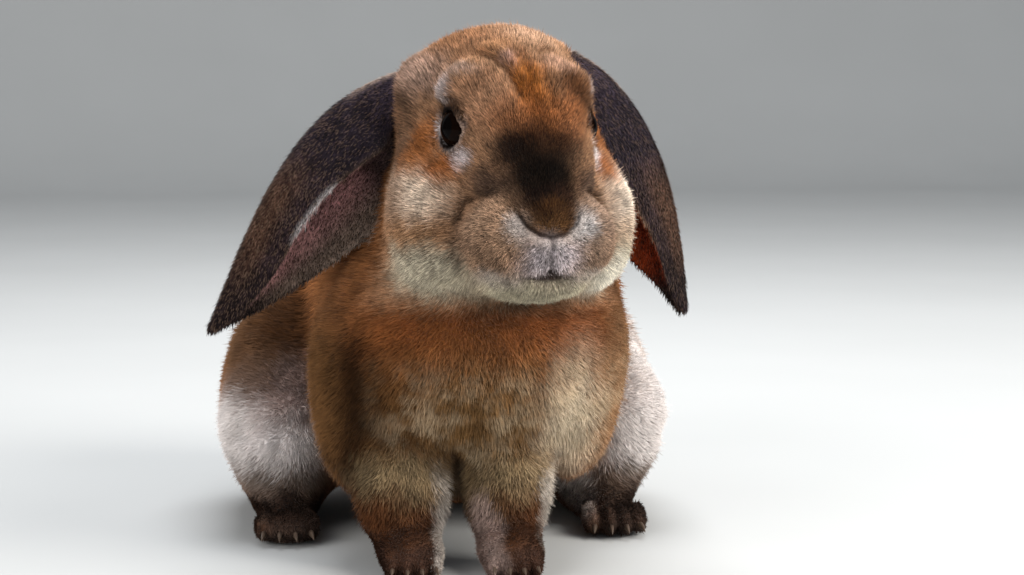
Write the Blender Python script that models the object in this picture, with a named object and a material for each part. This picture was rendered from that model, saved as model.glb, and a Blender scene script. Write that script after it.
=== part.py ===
"""A sitting lop-eared rex rabbit at life size, as solids: +Z up, nose towards -Y, metres.

The body is a set of rounded masses (skull, cheeks, rib cage, haunches, toes ...) that melt into one
another.  They are written in millimetres, are wrapped in one closed skin by OpenVDB, which comes with
Blender, and the skin is then parted into head, neck, trunk, tail and limbs with thin cuts.  Each ear
is a curled leaf with its own thickness, and the claws are small bent cones.
"""

import math

import bmesh
import bpy
import numpy as np
import openvdb
from mathutils import Matrix, Vector

MM = 0.001

# ------------------------------------------------------------------ driving dimensions, millimetres
HEAD_CENTRE = (12.0, -95.0, 150.0)  # between the cheeks
HEAD_TURN = 9.0  # degrees that the nose points towards the rabbit's left, +X
EYE_CENTRE = (22.2, -16.0, 30.0)  # in the head, the left one
EYE_RADIUS = 9.3
EAR_WALLS = {  # widths of the ear's shorter wall and of its longer one, from root to tip
    "ear_right": ((29, 33, 35, 34, 30.5, 26.5, 24, 17.5, 8), (42, 50, 54, 53, 50, 43, 33, 20, 7)),
    "ear_left": ((30, 33, 36, 36, 33, 27, 19, 14.5, 11), (36, 40, 42, 42, 40, 33.5, 25, 13, 6)),
}
EAR_THICKNESS = 3.4
EAR_ROWS, EAR_COLUMNS = 14, 10
FOREPAWS = {"right": (-28.0, -98.0), "left": (12.5, -100.0)}
FORE_MIDDLE = -8.5  # between the forelegs
HIND_TOES = 71.0  # distance of each hind foot from the middle
FORE_CLAW, HIND_CLAW = (5.5, 1.3), (6.5, 1.6)  # length and thickest radius
CELL = 2.5  # of the grid that the skin is wrapped on
GAP = 0.3  # between neighbouring solids
SKIN_FACES = 4400  # of the whole wrapped skin
BALL_DETAIL = 2  # times that the sides of a round cutter are split


class Mass:
    """One rounded mass: an ellipsoid with its centre, its three radii, a nod about X and a turn about Z.
    melt is how far it melts into what came before it."""

    def __init__(self, centre, radii, melt=8.0, nod=0.0, turn=0.0):
        self.centre = centre
        self.radii = radii
        self.melt = melt
        self.nod = nod
        self.turn = turn
        self.rotation = (Matrix.Rotation(math.radians(turn), 3, "Z")
                         @ Matrix.Rotation(math.radians(nod), 3, "X"))

    def mirrored(self):
        x, y, z = self.centre
        return Mass((-x, y, z), self.radii, self.melt, self.nod, -self.turn)

    def placed(self, frame):
        """This mass seen from the body, where frame places the group that it belongs to."""
        made = Mass(frame @ Vector(self.centre), self.radii, self.melt)
        made.rotation = frame.to_3x3() @ self.rotation
        return made


def both(*masses):
    """Each mass with its mirror image."""
    return [side for mass in masses for side in (mass, mass.mirrored())]


def toes(x, y, z, spread, radii):
    """Four toes side by side, the outer two a little further back."""
    across = (-1.5, -0.5, 0.5, 1.5)
    back = (0.45, 0.0, 0.0, 0.45)
    return [Mass((x + spread * a, y + spread * b, z), radii, 2.5) for a, b in zip(across, back)]


FORE_SPREAD, HIND_SPREAD = 5.6, 6.6  # between one toe and the next
FORE_TOE_RADII, HIND_TOE_RADII = (4.2, 10.0, 7.0), (5.0, 13.0, 8.0)

TRUNK = [
    Mass((-1, 88, 96), (70, 72, 94), 30),  # rump
    Mass((0, 24, 106), (64, 84, 80), 40),  # loin
    Mass((3, -38, 106), (62, 58, 70), 40),  # rib cage
    Mass((1, -76, 90), (60, 50, 47), 22),  # breast
    Mass((0, 38, 50), (64, 80, 46), 30),  # belly
    Mass((6, -44, 150), (44, 50, 44), 30),  # nape
    Mass((0, 156, 62), (15, 13, 24), 8, nod=12),  # tail
    Mass((-45, -64, 68), (24, 36, 44), 14),  # right shoulder and upper arm
    Mass((40, -66, 74), (24, 34, 44), 14),  # left shoulder and upper arm
    Mass((-30, -85, 36), (22.5, 19.5, 33), 8),  # right forearm
    Mass((12.5, -87, 36), (20.5, 18.5, 33), 8),  # left forearm
]
for _side, (_x, _y) in FOREPAWS.items():
    TRUNK += [Mass((_x, _y, 9), (14.5, 19, 11), 8), *toes(_x, _y - 13, 6, FORE_SPREAD, FORE_TOE_RADII)]

HIPS = both(
    Mass((66, 46, 50), (34, 62, 52), 16),  # thigh
    Mass((74, 4, 47), (27.5, 36, 31), 10),  # knee
    Mass((71, 10, 27), (20, 34, 20), 8),  # shank
    Mass((70, 24, 12), (16, 54, 16), 8),  # hind foot
    *toes(HIND_TOES, -32, 7, HIND_SPREAD, HIND_TOE_RADII),
)
HIPS_SHIFT = -4.5

HEAD = [
    Mass((2, 10, 27), (34, 44, 42), 8),  # cranium
    Mass((0, -14, 27), (28, 30, 34), 10),  # forehead
    Mass((0, -33, 12), (24, 25, 30), 14, nod=-22),  # bridge of the nose
    Mass((0, -35, -12), (30, 25, 22), 12),  # upper jaw
    Mass((2.5, 24, 50), (36.5, 22, 20), 10),  # crown
    Mass((-19.5, -12, 44), (13.5, 16.5, 13.5), 4),  # right brow
    Mass((18.5, -13.5, 44), (12.3, 17.5, 12.5), 3),  # left brow
    *both(
        Mass((25, 13, 14), (18, 25, 26), 10),  # temple
        Mass((26.5, -3, -7), (24.5, 30, 28.5), 12),  # cheek
        Mass((20, -10, -21), (23, 28, 15.5), 10),  # jaw
        Mass((14.8, -43, -11.5), (16.5, 18.5, 16.5), 5),  # whisker pad
        Mass((31, 22, 40), (12, 17, 18), 8),  # root of the ear
    ),
    Mass((0, -54, -3), (12, 10.5, 10), 7),  # nose
    Mass((0, -53, -15), (11, 9.5, 13.5), 6),  # upper lip
    Mass((0, -38, -27), (20, 20, 9.5), 7),  # chin
]


def head_frame():
    return Matrix.Translation(HEAD_CENTRE) @ Matrix.Rotation(math.radians(HEAD_TURN), 4, "Z")


def in_metres(points):
    return [tuple(Vector(point) * MM) for point in points]


def add_object(name, points, faces):
    """A new object whose points are given in millimetres."""
    mesh = bpy.data.meshes.new(name)
    mesh.from_pydata(in_metres(points), [], faces)
    mesh.update()
    made = bpy.data.objects.new(name, mesh)
    bpy.context.scene.collection.objects.link(made)
    return made


# ------------------------------------------------------------------ the wrapped skin


def distance_to(mass, points):
    """About how far each point is outside the mass, in millimetres."""
    radii = np.array(mass.radii)
    local = (points - np.array(mass.centre)) @ np.array(mass.rotation)
    near = np.linalg.norm(local / radii, axis=-1)
    slope = np.linalg.norm(local / radii**2, axis=-1)
    return near * (near - 1) / np.maximum(slope, 1e-6)


def melted(one, other, melt):
    """The union of two distances, rounded off where they meet."""
    share = np.clip(0.5 + 0.5 * (other - one) / melt, 0, 1)
    return other + (one - other) * share - melt * share * (1 - share)


def all_masses():
    body = [mass.placed(Matrix.Identity(4)) for mass in TRUNK]
    hips = [mass.placed(Matrix.Translation((HIPS_SHIFT, 0, 0))) for mass in HIPS]
    return body + hips + [mass.placed(head_frame()) for mass in HEAD]


def distance_to_body(points):
    masses = all_masses()
    distance = distance_to(masses[0], points)
    for mass in masses[1:]:
        distance = melted(distance, distance_to(mass, points), mass.melt)
    return distance


def wrapped_body(cell=CELL):
    """(points, quads) of the skin round all the masses, in millimetres."""
    low, high = np.array((-120.0, -175, -12)), np.array((120.0, 190, 232))
    counts = np.ceil((high - low) / cell).astype(int)
    axes = [low[i] + cell * np.arange(counts[i]) for i in range(3)]
    points = np.stack(np.meshgrid(*axes, indexing="ij"), axis=-1)
    grid = openvdb.FloatGrid(3 * cell)
    grid.copyFromArray(distance_to_body(points).astype(np.float32))
    corners, quads = grid.convertToQuads(isovalue=0.0)
    return low + cell * corners, quads


# ------------------------------------------------------------------ the ears


def smooth(x):
    x = min(max(x, 0.0), 1.0)
    return x * x * (3 - 2 * x)


def through(stops, s):
    """The height at share s of a smooth line through evenly spaced heights."""
    place = s * (len(stops) - 1)
    i = min(int(place), len(stops) - 2)
    r = place - i
    a, b, c, d = [stops[min(max(i + k, 0), len(stops) - 1)] for k in (-1, 0, 1, 2)]
    return b + 0.5 * r * (c - a + r * (2 * a - 5 * b + 4 * c - d + r * (3 * (b - c) + d - a)))


class Ear:
    """One lop ear, a leaf curled round the fold that runs from its root to its tip.

    fold holds the four points of a Bezier curve, near is the side that its shorter wall is on, and
    turn is 1 or -1, the way round that the leaf curls."""

    def __init__(self, name, fold, near, turn):
        self.name = name
        self.fold = [Vector(point) for point in fold]
        self.near = Vector(near).normalized()
        self.turn = turn

    def along(self, s):
        """The fold's point and direction at share s of the way to the tip."""
        a, b, c, d = self.fold
        r = 1 - s
        point = a * r**3 + b * (3 * r * r * s) + c * (3 * r * s * s) + d * s**3
        way = (b - a) * (3 * r * r) + (c - b) * (6 * r * s) + (d - c) * (3 * s * s)
        return point, way.normalized()

    def point(self, s, t, depth=0.0):
        """A point of the leaf: t runs from -1, the near rim, over the fold at 0 to 1, the far rim,
        and depth is how far it lies outside the middle of the leaf."""
        start, way = self.along(s)
        across = way.cross(self.near).normalized() * self.turn
        near = across.cross(way).normalized()
        near = near if near.dot(self.near) > 0 else -near
        shut = 1 - smooth(s / 0.28)
        most = math.radians(78 + 88 * shut)
        radius = 7.5 + 5.0 * shut - 4.5 * smooth((s - 0.5) / 0.5)
        run = abs(t) * through(EAR_WALLS[self.name][int(t > 0)], s) * math.sqrt(max(1 - s**12, 0))
        run += (radius * most * abs(t) - run) * shut
        turned = min(run / radius, most)
        rest = run - turned * radius
        rise = (radius + depth) * math.sin(turned) + rest * math.cos(most)
        reach = radius - (radius + depth) * math.cos(turned) + rest * math.sin(most)
        return start + across * reach + near * (rise if t < 0 else -rise)


EARS = [
    Ear("ear_right", [(-17.9, -65.5, 202.3), (-72.0, -65.2, 195.4), (-88.6, -78.4, 140.8), (-108.6, -76.2, 95)],
        (-0.35, -1.0, 0.15), -1),
    Ear("ear_left", [(41.4, -64.4, 208.1), (80.4, -65.3, 189.4), (84.7, -73.5, 135.9), (87.3, -80.0, 101)],
        (0.40, -0.92, 0.1), 1),
]


def make_ear(ear):
    """The leaf as a closed solid: an outer sheet, an inner sheet and a band round the rim."""
    points = []
    for depth in (EAR_THICKNESS / 2, -EAR_THICKNESS / 2):
        for i in range(EAR_ROWS + 1):
            s = 0.985 * i / EAR_ROWS
            for j in range(EAR_COLUMNS + 1):
                t = 2 * j / EAR_COLUMNS - 1
                points.append(ear.point(s, t * 0.999, depth))
    wide, sheet = EAR_COLUMNS + 1, (EAR_ROWS + 1) * (EAR_COLUMNS + 1)
    faces = []
    for i in range(EAR_ROWS):
        for j in range(EAR_COLUMNS):
            corners = (i * wide + j, i * wide + j + 1, (i + 1) * wide + j + 1, (i + 1) * wide + j)
            faces.append(corners)
            faces.append(tuple(sheet + corner for corner in reversed(corners)))
    rim = [(0, j) for j in range(EAR_COLUMNS)] + [(i, EAR_COLUMNS) for i in range(EAR_ROWS)]
    rim += [(EAR_ROWS, j) for j in range(EAR_COLUMNS, 0, -1)] + [(i, 0) for i in range(EAR_ROWS, 0, -1)]
    rim = [i * wide + j for i, j in rim]
    for first, second in zip(rim, rim[1:] + rim[:1]):
        faces.append((second, first, sheet + first, sheet + second))
    made = add_object(ear.name, points, faces)
    turn_outwards(made)
    return made


# ------------------------------------------------------------------ cutting and joining


def turn_outwards(made):
    shell = bmesh.new()
    shell.from_mesh(made.data)
    bmesh.ops.recalc_face_normals(shell, faces=shell.faces[:])
    if shell.calc_volume(signed=True) < 0:
        bmesh.ops.reverse_faces(shell, faces=shell.faces[:])
    shell.to_mesh(made.data)
    shell.free()


def ball(name, centre, radii, rotation=None, detail=BALL_DETAIL):
    """An ellipsoid."""
    made = add_object(name, [], [])
    shell = bmesh.new()
    bmesh.ops.create_icosphere(shell, subdivisions=detail, radius=1.0)
    turned = (rotation or Matrix.Identity(3)).to_4x4()
    placed = Matrix.Translation(centre) @ turned @ Matrix.Diagonal((*radii, 1))
    bmesh.ops.transform(shell, matrix=Matrix.Scale(MM, 4) @ placed, verts=shell.verts[:])
    shell.to_mesh(made.data)
    shell.free()
    return made


def wedge(name, profile, sides, frame, grow):
    """A block whose outline in Y and Z is profile, between two values of X, grown by grow all round."""
    middle = sum((Vector(corner) for corner in profile), Vector((0, 0))) / len(profile)
    grown = []
    for corner in profile:
        away = Vector(corner) - middle
        grown.append(middle + away * (1 + 1.5 * grow / away.length))
    points = [frame @ Vector((x, y, z)) for x in (sides[0] - grow, sides[1] + grow) for y, z in grown]
    count = len(profile)
    faces = [tuple(range(count)), tuple(range(2 * count - 1, count - 1, -1))]
    for i in range(count):
        j = (i + 1) % count
        faces.append((j, i, count + i, count + j))
    made = add_object(name, points, faces)
    turn_outwards(made)
    return made


def join_or_cut(made, cutter, operation):
    """Apply one exact Boolean to made."""
    boolean = made.modifiers.new(operation.lower(), "BOOLEAN")
    boolean.operation = operation
    boolean.solver = "EXACT"
    boolean.object = cutter
    cutter.hide_render = True
    cutter.display_type = "WIRE"
    settled = bpy.context.evaluated_depsgraph_get()
    mesh = bpy.data.meshes.new_from_object(made.evaluated_get(settled))
    made.modifiers.clear()
    made.data = mesh
    mesh.name = made.name


def duplicate(made, name):
    copied = bpy.data.objects.new(name, made.data.copy())
    bpy.context.scene.collection.objects.link(copied)
    return copied


def remove(*objects):
    for made in objects:
        bpy.data.objects.remove(made)


def largest_piece(made):
    """Drop the crumbs that a cut leaves, weld its short edges and keep the main piece."""
    shell = bmesh.new()
    shell.from_mesh(made.data)
    bmesh.ops.remove_doubles(shell, verts=shell.verts[:], dist=0.02 * MM)
    bmesh.ops.dissolve_degenerate(shell, edges=shell.edges[:], dist=0.01 * MM)
    bmesh.ops.triangulate(shell, faces=shell.faces[:])
    pieces, seen = [], set()
    for start in shell.verts:
        if start in seen:
            continue
        piece, todo = [], [start]
        seen.add(start)
        while todo:
            corner = todo.pop()
            piece.append(corner)
            for edge in corner.link_edges:
                other = edge.other_vert(corner)
                if other not in seen:
                    seen.add(other)
                    todo.append(other)
        pieces.append(piece)
    pieces.sort(key=len)
    for piece in pieces[:-1]:
        bmesh.ops.delete(shell, geom=piece, context="VERTS")
    shell.to_mesh(made.data)
    shell.free()


def part_off(rest, name, cutter_of):
    """Take what is inside a cutter off the rest as a solid of its own, with a thin gap between them."""
    inner, outer = cutter_of(0.0), cutter_of(GAP)
    made = duplicate(rest, name)
    join_or_cut(made, inner, "INTERSECT")
    join_or_cut(rest, outer, "DIFFERENCE")
    remove(inner, outer)
    largest_piece(made)
    largest_piece(rest)
    return made


def swollen(made, by):
    """A copy whose skin is moved outwards."""
    copied = duplicate(made, made.name + "_swollen")
    normals = [corner.normal.copy() for corner in copied.data.vertices]
    for corner, normal in zip(copied.data.vertices, normals):
        corner.co += normal * (by * MM)
    return copied


def trim(made, neighbours):
    """Cut made back until it clears its neighbours by a thin gap."""
    for neighbour in neighbours:
        room = swollen(neighbour, 1.5 * GAP)
        join_or_cut(made, room, "DIFFERENCE")
        remove(room)
    largest_piece(made)


# ------------------------------------------------------------------ the pieces


def make_skin():
    """The wrapped skin, thinned out and cut off flat where it rests on the floor."""
    points, quads = wrapped_body()
    skin = add_object("trunk", points, quads.tolist())
    thin = skin.modifiers.new("thin", "DECIMATE")
    thin.ratio = SKIN_FACES / (2 * len(quads))
    settled = bpy.context.evaluated_depsgraph_get()
    mesh = bpy.data.meshes.new_from_object(skin.evaluated_get(settled))
    skin.modifiers.clear()
    skin.data = mesh
    floor = wedge("floor", [(-200, -30), (200, -30), (200, 0), (-200, 0)], (-150, 150),
                  Matrix.Identity(4), 0)
    join_or_cut(skin, floor, "DIFFERENCE")
    remove(floor)
    largest_piece(skin)
    return skin


def part_skin(skin):
    """{name: solid} of the skin's parts."""
    frame = head_frame()
    plain = Matrix.Identity(4)
    hips = Matrix.Translation((HIPS_SHIFT, 0, 0))
    parts = {}

    def block(name, profile, sides, placed):
        parts[name] = part_off(skin, name, lambda grow: wedge("cutter", profile, sides, placed, grow))

    def oval(name, centre, radii):
        def cutter(grow):
            return ball("cutter", centre, [radius + grow for radius in radii])
        parts[name] = part_off(skin, name, cutter)

    block("head", [(-90, -46), (26, -38), (60, 90), (-90, 90)], (-80, 80), frame)
    block("neck", [(22, -38.5), (58, -38.5), (100, 90), (22, 90)], (-90, 90), frame)
    oval("tail", (0, 166, 60), (20, 19, 31))
    for side, (x, y) in FOREPAWS.items():
        low, high = (x - 24, FORE_MIDDLE - 0.2) if x < 0 else (FORE_MIDDLE + 0.2, x + 26)
        block("forepaw_" + side, [(-145, -1), (-55, -1), (-60, 20), (-145, 20)], (low, high), plain)
        block("foreleg_" + side, [(-145, 12), (-50, 12), (-50, 50), (-145, 50)], (low, high), plain)
    for side, sign in (("right", -1), ("left", 1)):
        low, high = sorted((sign * 46, sign * 130))
        block("hind_foot_" + side, [(-70, -1), (84, -1), (84, 22), (-70, 25)], (low, high), hips)
        oval("thigh_" + side, (sign * 72 + HIPS_SHIFT, 34, 49), (38, 80, 50))
    return parts


def make_eyes(head):
    eyes = []
    for side, sign in (("right", -1), ("left", 1)):
        x, y, z = EYE_CENTRE
        centre = head_frame() @ Vector((sign * x, y, z))
        socket = ball("socket", centre, [EYE_RADIUS + GAP] * 3, detail=3)
        join_or_cut(head, socket, "DIFFERENCE")
        remove(socket)
        eyes.append(ball("eye_" + side, centre, [EYE_RADIUS] * 3, detail=3))
    largest_piece(head)
    return eyes


def make_claw(name, root, size, lean):
    """A bent cone that points forwards and down from its root; lean is how far it leans sideways."""
    length, thick = size
    sides, rings = 6, 3
    points = []
    for i in range(rings):
        share = i / rings
        centre = Vector(root) + Vector((lean * share * length, -length * share, -0.32 * length * share**2))
        for j in range(sides):
            angle = 2 * math.pi * j / sides
            radius = thick * (1 - share**1.6)
            points.append(centre + Vector((0.75 * radius * math.cos(angle), 0, radius * math.sin(angle))))
    points.append(Vector(root) + Vector((lean * length, -length, -0.32 * length)))
    faces = [tuple(range(sides))]
    for i in range(rings - 1):
        for j in range(sides):
            k = (j + 1) % sides
            faces.append((i * sides + k, i * sides + j, (i + 1) * sides + j, (i + 1) * sides + k))
    last = (rings - 1) * sides
    for j in range(sides):
        faces.append((last + (j + 1) % sides, last + j, rings * sides))
    made = add_object(name, points, faces)
    turn_outwards(made)
    return made


def make_claws(parts):
    """One claw on each of the four toes of each foot."""
    claws = []
    feet = [("forepaw_" + side, (x, y - 13), FORE_SPREAD, FORE_TOE_RADII, FORE_CLAW)
            for side, (x, y) in FOREPAWS.items()]
    feet += [("hind_foot_" + side, (sign * HIND_TOES + HIPS_SHIFT, -32), HIND_SPREAD, HIND_TOE_RADII, HIND_CLAW)
             for side, sign in (("right", -1), ("left", 1))]
    for foot, (x, y), spread, radii, size in feet:
        for number, (across, back) in enumerate(zip((-1.5, -0.5, 0.5, 1.5), (0.45, 0, 0, 0.45)), 1):
            root = (x + spread * across, y + spread * back - radii[1] + 3.5, 5.5)
            claw = make_claw("claw_%s_%d" % (foot, number), root, size, 0.12 * across)
            trim(claw, [parts[foot]])
            claws.append(claw)
    return claws


# ------------------------------------------------------------------ materials

MATERIALS = {
    "coat_orange": ((0.42, 0.19, 0.07), 0.85, ("head", "neck", "trunk", "foreleg")),
    "coat_cream": ((0.68, 0.56, 0.44), 0.85, ("thigh", "tail")),
    "coat_dark": ((0.06, 0.04, 0.035), 0.8, ("ear", "forepaw", "hind_foot")),
    "eye_brown": ((0.02, 0.012, 0.01), 0.1, ("eye",)),
    "claw_horn": ((0.13, 0.09, 0.07), 0.4, ("claw",)),
}


def add_material(made):
    """The part's own material, named after the part."""
    for name, (colour, roughness, starts) in MATERIALS.items():
        if made.name.startswith(starts):
            material = bpy.data.materials.new(made.name + "_" + name)
            material.use_nodes = True
            surface = material.node_tree.nodes["Principled BSDF"]
            surface.inputs["Base Color"].default_value = (*colour, 1)
            surface.inputs["Roughness"].default_value = roughness
            material.diffuse_color = (*colour, 1)
            made.data.materials.clear()
            made.data.materials.append(material)


def centre_on_floor(objects):
    """Move everything so that the middle of its outline lies over the origin."""
    spots = [corner.co for made in objects for corner in made.data.vertices]
    middle = [(min(spot[axis] for spot in spots) + max(spot[axis] for spot in spots)) / 2 for axis in (0, 1)]
    for made in objects:
        made.data.transform(Matrix.Translation((-middle[0], -middle[1], 0)))
        made.data.update()
    return middle


def main():
    for made in list(bpy.data.objects):
        bpy.data.objects.remove(made)
    skin = make_skin()
    parts = part_skin(skin)
    eyes = make_eyes(parts["head"])
    claws = make_claws(parts)
    ears = [make_ear(ear) for ear in EARS]
    for ear in ears:
        trim(ear, [parts["head"], parts["neck"], skin])
    whole = [skin, *parts.values(), *eyes, *claws, *ears]
    middle = centre_on_floor(whole)
    for made in whole:
        add_material(made)
    print("middle of the outline, mm:", [round(value / MM, 3) for value in middle])


if __name__ == "__main__":
    main()
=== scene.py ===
"""A sitting lop-eared rex rabbit: one skin with tufts of plush coat, glossy eyes and horn claws.

The body is a set of rounded masses that melt into one another, written in millimetres.  The skin is
their surface, a coat's depth inside the solids, with the folds of the face pressed into it.  The ears
are curled leaves joined to it.  Every point of the skin then gets the colour of its fur, the way that
the fur lies, and how long and how thick it grows there, and Geometry Nodes grow the tufts from that.
"""

import math

import bmesh
import bpy
import numpy as np
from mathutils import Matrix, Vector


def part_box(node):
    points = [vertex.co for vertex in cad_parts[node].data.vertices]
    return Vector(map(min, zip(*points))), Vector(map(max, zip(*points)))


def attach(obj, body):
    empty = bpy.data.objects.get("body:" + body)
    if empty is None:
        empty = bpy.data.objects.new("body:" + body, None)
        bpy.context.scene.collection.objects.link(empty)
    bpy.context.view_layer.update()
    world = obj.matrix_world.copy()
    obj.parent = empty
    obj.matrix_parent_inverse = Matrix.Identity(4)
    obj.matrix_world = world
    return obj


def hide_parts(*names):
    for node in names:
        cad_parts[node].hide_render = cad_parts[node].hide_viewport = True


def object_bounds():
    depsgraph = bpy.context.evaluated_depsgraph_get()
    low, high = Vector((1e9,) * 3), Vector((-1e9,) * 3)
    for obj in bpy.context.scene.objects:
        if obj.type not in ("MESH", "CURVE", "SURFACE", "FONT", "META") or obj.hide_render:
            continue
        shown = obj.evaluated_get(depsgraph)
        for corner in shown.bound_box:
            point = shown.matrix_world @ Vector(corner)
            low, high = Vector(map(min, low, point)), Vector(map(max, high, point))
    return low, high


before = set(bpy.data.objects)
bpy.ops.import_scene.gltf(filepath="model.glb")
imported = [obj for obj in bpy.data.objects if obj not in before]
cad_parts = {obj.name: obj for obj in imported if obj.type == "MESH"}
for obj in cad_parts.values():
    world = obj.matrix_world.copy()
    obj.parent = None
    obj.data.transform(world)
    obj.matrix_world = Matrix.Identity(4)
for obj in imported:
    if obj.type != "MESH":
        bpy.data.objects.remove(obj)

import openvdb
from mathutils import Matrix, Vector, kdtree

CAD_BOX = [list(corner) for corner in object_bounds()]
MM = 0.001

# ------------------------------------------------------------------ the body's sizes, in millimetres
HEAD_CENTRE = (12.0, -95.0, 150.0)  # between the cheeks
HEAD_TURN = 9.0  # degrees that the nose points towards the rabbit's left, +X
EYE_CENTRE = (22.2, -16.0, 30.0)  # in the head, the left one
EYE_RADIUS = 9.3
EYE_BULGE, BULGE_ANGLE = 0.55, 52  # height of the eye's clear bulge, and its reach round from the axis
LID_RADIUS, LID_OUT, LID_THICKNESS = 8.2, 4.9, 1.15  # the lids' rounded edge
LID_COVER = 3.4  # how far the upper lid comes down over the front of the eye
LID_LENGTH = 1.07  # of the lids' opening, over its height
EAR_WALLS = {  # widths of the ear's shorter wall and of its longer one, from root to tip
    "ear_right": ((29, 33, 35, 34, 30.5, 26.5, 24, 17.5, 8), (42, 50, 54, 53, 50, 43, 33, 20, 7)),
    "ear_left": ((30, 33, 36, 36, 33, 27, 19, 14.5, 11), (36, 40, 42, 42, 40, 33.5, 25, 13, 6)),
}
EAR_SKIN = 1.5  # thickness without the coat
FOREPAWS = {"right": (-28.0, -98.0), "left": (12.5, -100.0)}
FORE_TOES_AHEAD = 13.0  # of the forepaws' middles
HIND_TOES = (71.0, -32.0)
HIPS_SHIFT = -4.5
TOE_ROW = ((-1.5, 0.45), (-0.5, 0.0), (0.5, 0.0), (1.5, 0.45))  # each toe's place across and back
FORE_SPREAD, HIND_SPREAD = 5.6, 6.6  # of the toes
FORE_TOE_RADII, HIND_TOE_RADII = (4.2, 10.0, 7.0), (5.0, 13.0, 8.0)
FORE_CLAW, HIND_CLAW = (5.5, 1.3), (6.5, 1.6)  # length and half thickness
SOLE = 0.6  # height of the soles' skin over the floor
SIDES = (("right", -1), ("left", 1))

FINE, COARSE = 1.1, 3.6  # grid steps of the skin, on the head and elsewhere
GROWTH = 1.15  # of one grid step over the one before it, away from the head
BODY_COAT, LEG_COAT, FOOT_COAT, HEAD_COAT, MUZZLE_COAT, EAR_COAT = 4.0, 3.0, 1.4, 2.2, 1.6, 0.95  # depth

HEAD = Matrix.Translation(HEAD_CENTRE) @ Matrix.Rotation(math.radians(HEAD_TURN), 4, "Z")


class Mass:
    """One rounded mass: an ellipsoid with its centre, radii out to the coat's tips, coat depth, how far it
    melts into what came before it, and a nod about X."""

    def __init__(self, centre, radii, coat, melt=8.0, nod=0.0):
        self.centre = centre
        self.radii = radii
        self.coat = coat
        self.melt = melt
        self.rotation = Matrix.Rotation(math.radians(nod), 3, "X")

    def at(self, centre, rotation):
        made = Mass(centre, self.radii, self.coat, self.melt)
        made.rotation = rotation
        return made

    def mirrored(self):
        x, y, z = self.centre
        return self.at((-x, y, z), self.rotation)

    def placed(self, place):
        return self.at(place @ Vector(self.centre), place.to_3x3() @ self.rotation)


def both(*masses):
    """Each mass with its mirror image."""
    return [side for mass in masses for side in (mass, mass.mirrored())]


def toes(x, y, z, spread, radii):
    """Four toes side by side, the outer two a little further back."""
    return [Mass((x + spread * across, y + spread * back, z), radii, FOOT_COAT, 2.5)
            for across, back in TOE_ROW]


TRUNK_MASSES = [
    Mass((-1, 88, 96), (70, 72, 94), BODY_COAT, 30),  # rump
    Mass((0, 24, 106), (64, 84, 80), BODY_COAT, 40),  # loin
    Mass((3, -38, 106), (62, 58, 70), BODY_COAT, 40),  # rib cage
    Mass((1, -76, 90), (60, 50, 47), BODY_COAT, 22),  # breast
    Mass((0, 38, 50), (64, 80, 46), BODY_COAT, 30),  # belly
    Mass((6, -44, 150), (44, 50, 44), BODY_COAT, 30),  # nape
    Mass((0, 156, 62), (15, 13, 24), BODY_COAT, 8, nod=12),  # tail
    Mass((-45, -64, 68), (24, 36, 44), BODY_COAT, 14),  # right shoulder and upper arm
    Mass((40, -66, 74), (24, 34, 44), BODY_COAT, 14),  # left shoulder and upper arm
    Mass((-30, -85, 36), (22.5, 19.5, 33), LEG_COAT, 8),  # right forearm
    Mass((12.5, -87, 36), (20.5, 18.5, 33), LEG_COAT, 8),  # left forearm
]
for _x, _y in FOREPAWS.values():
    TRUNK_MASSES += [Mass((_x, _y, 9), (14.5, 19, 11), FOOT_COAT, 8)]
    TRUNK_MASSES += toes(_x, _y - FORE_TOES_AHEAD, 6, FORE_SPREAD, FORE_TOE_RADII)

HIP_MASSES = both(
    Mass((66, 46, 50), (34, 62, 52), BODY_COAT, 16),  # thigh
    Mass((74, 4, 47), (27.5, 36, 31), BODY_COAT, 10),  # knee
    Mass((71, 10, 27), (20, 34, 20), LEG_COAT, 8),  # shank
    Mass((70, 24, 12), (16, 54, 16), FOOT_COAT, 8),  # hind foot
    *toes(*HIND_TOES, 7, HIND_SPREAD, HIND_TOE_RADII),
)

HEAD_MASSES = [
    Mass((2, 10, 27), (34, 44, 42), HEAD_COAT, 8),  # cranium
    Mass((0, -14, 27), (28, 30, 34), HEAD_COAT, 10),  # forehead
    Mass((0, -33, 12), (24, 25, 30), HEAD_COAT, 14, nod=-22),  # bridge of the nose
    Mass((0, -35, -12), (30, 25, 22), HEAD_COAT, 12),  # upper jaw
    Mass((2.5, 24, 50), (36.5, 22, 20), HEAD_COAT, 10),  # crown
    Mass((-19.5, -12, 44), (13.5, 16.5, 13.5), HEAD_COAT, 4),  # right brow
    Mass((18.5, -13.5, 44), (12.3, 17.5, 12.5), HEAD_COAT, 3),  # left brow
    *both(
        Mass((25, 13, 14), (18, 25, 26), HEAD_COAT, 10),  # temple
        Mass((26.5, -3, -7), (24.5, 30, 28.5), HEAD_COAT, 12),  # cheek
        Mass((20, -10, -21), (23, 28, 15.5), HEAD_COAT, 10),  # jaw
        Mass((14.8, -43, -11.5), (16.5, 18.5, 16.5), MUZZLE_COAT, 5),  # whisker pad
        Mass((31, 22, 40), (12, 17, 18), HEAD_COAT, 8),  # root of the ear
    ),
    Mass((0, -54, -3), (12, 10.5, 10), MUZZLE_COAT, 7),  # nose
    Mass((0, -53, -15), (11, 9.5, 13.5), MUZZLE_COAT, 6),  # upper lip
    Mass((0, -38, -27), (20, 20, 9.5), MUZZLE_COAT, 7),  # chin
]


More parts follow.
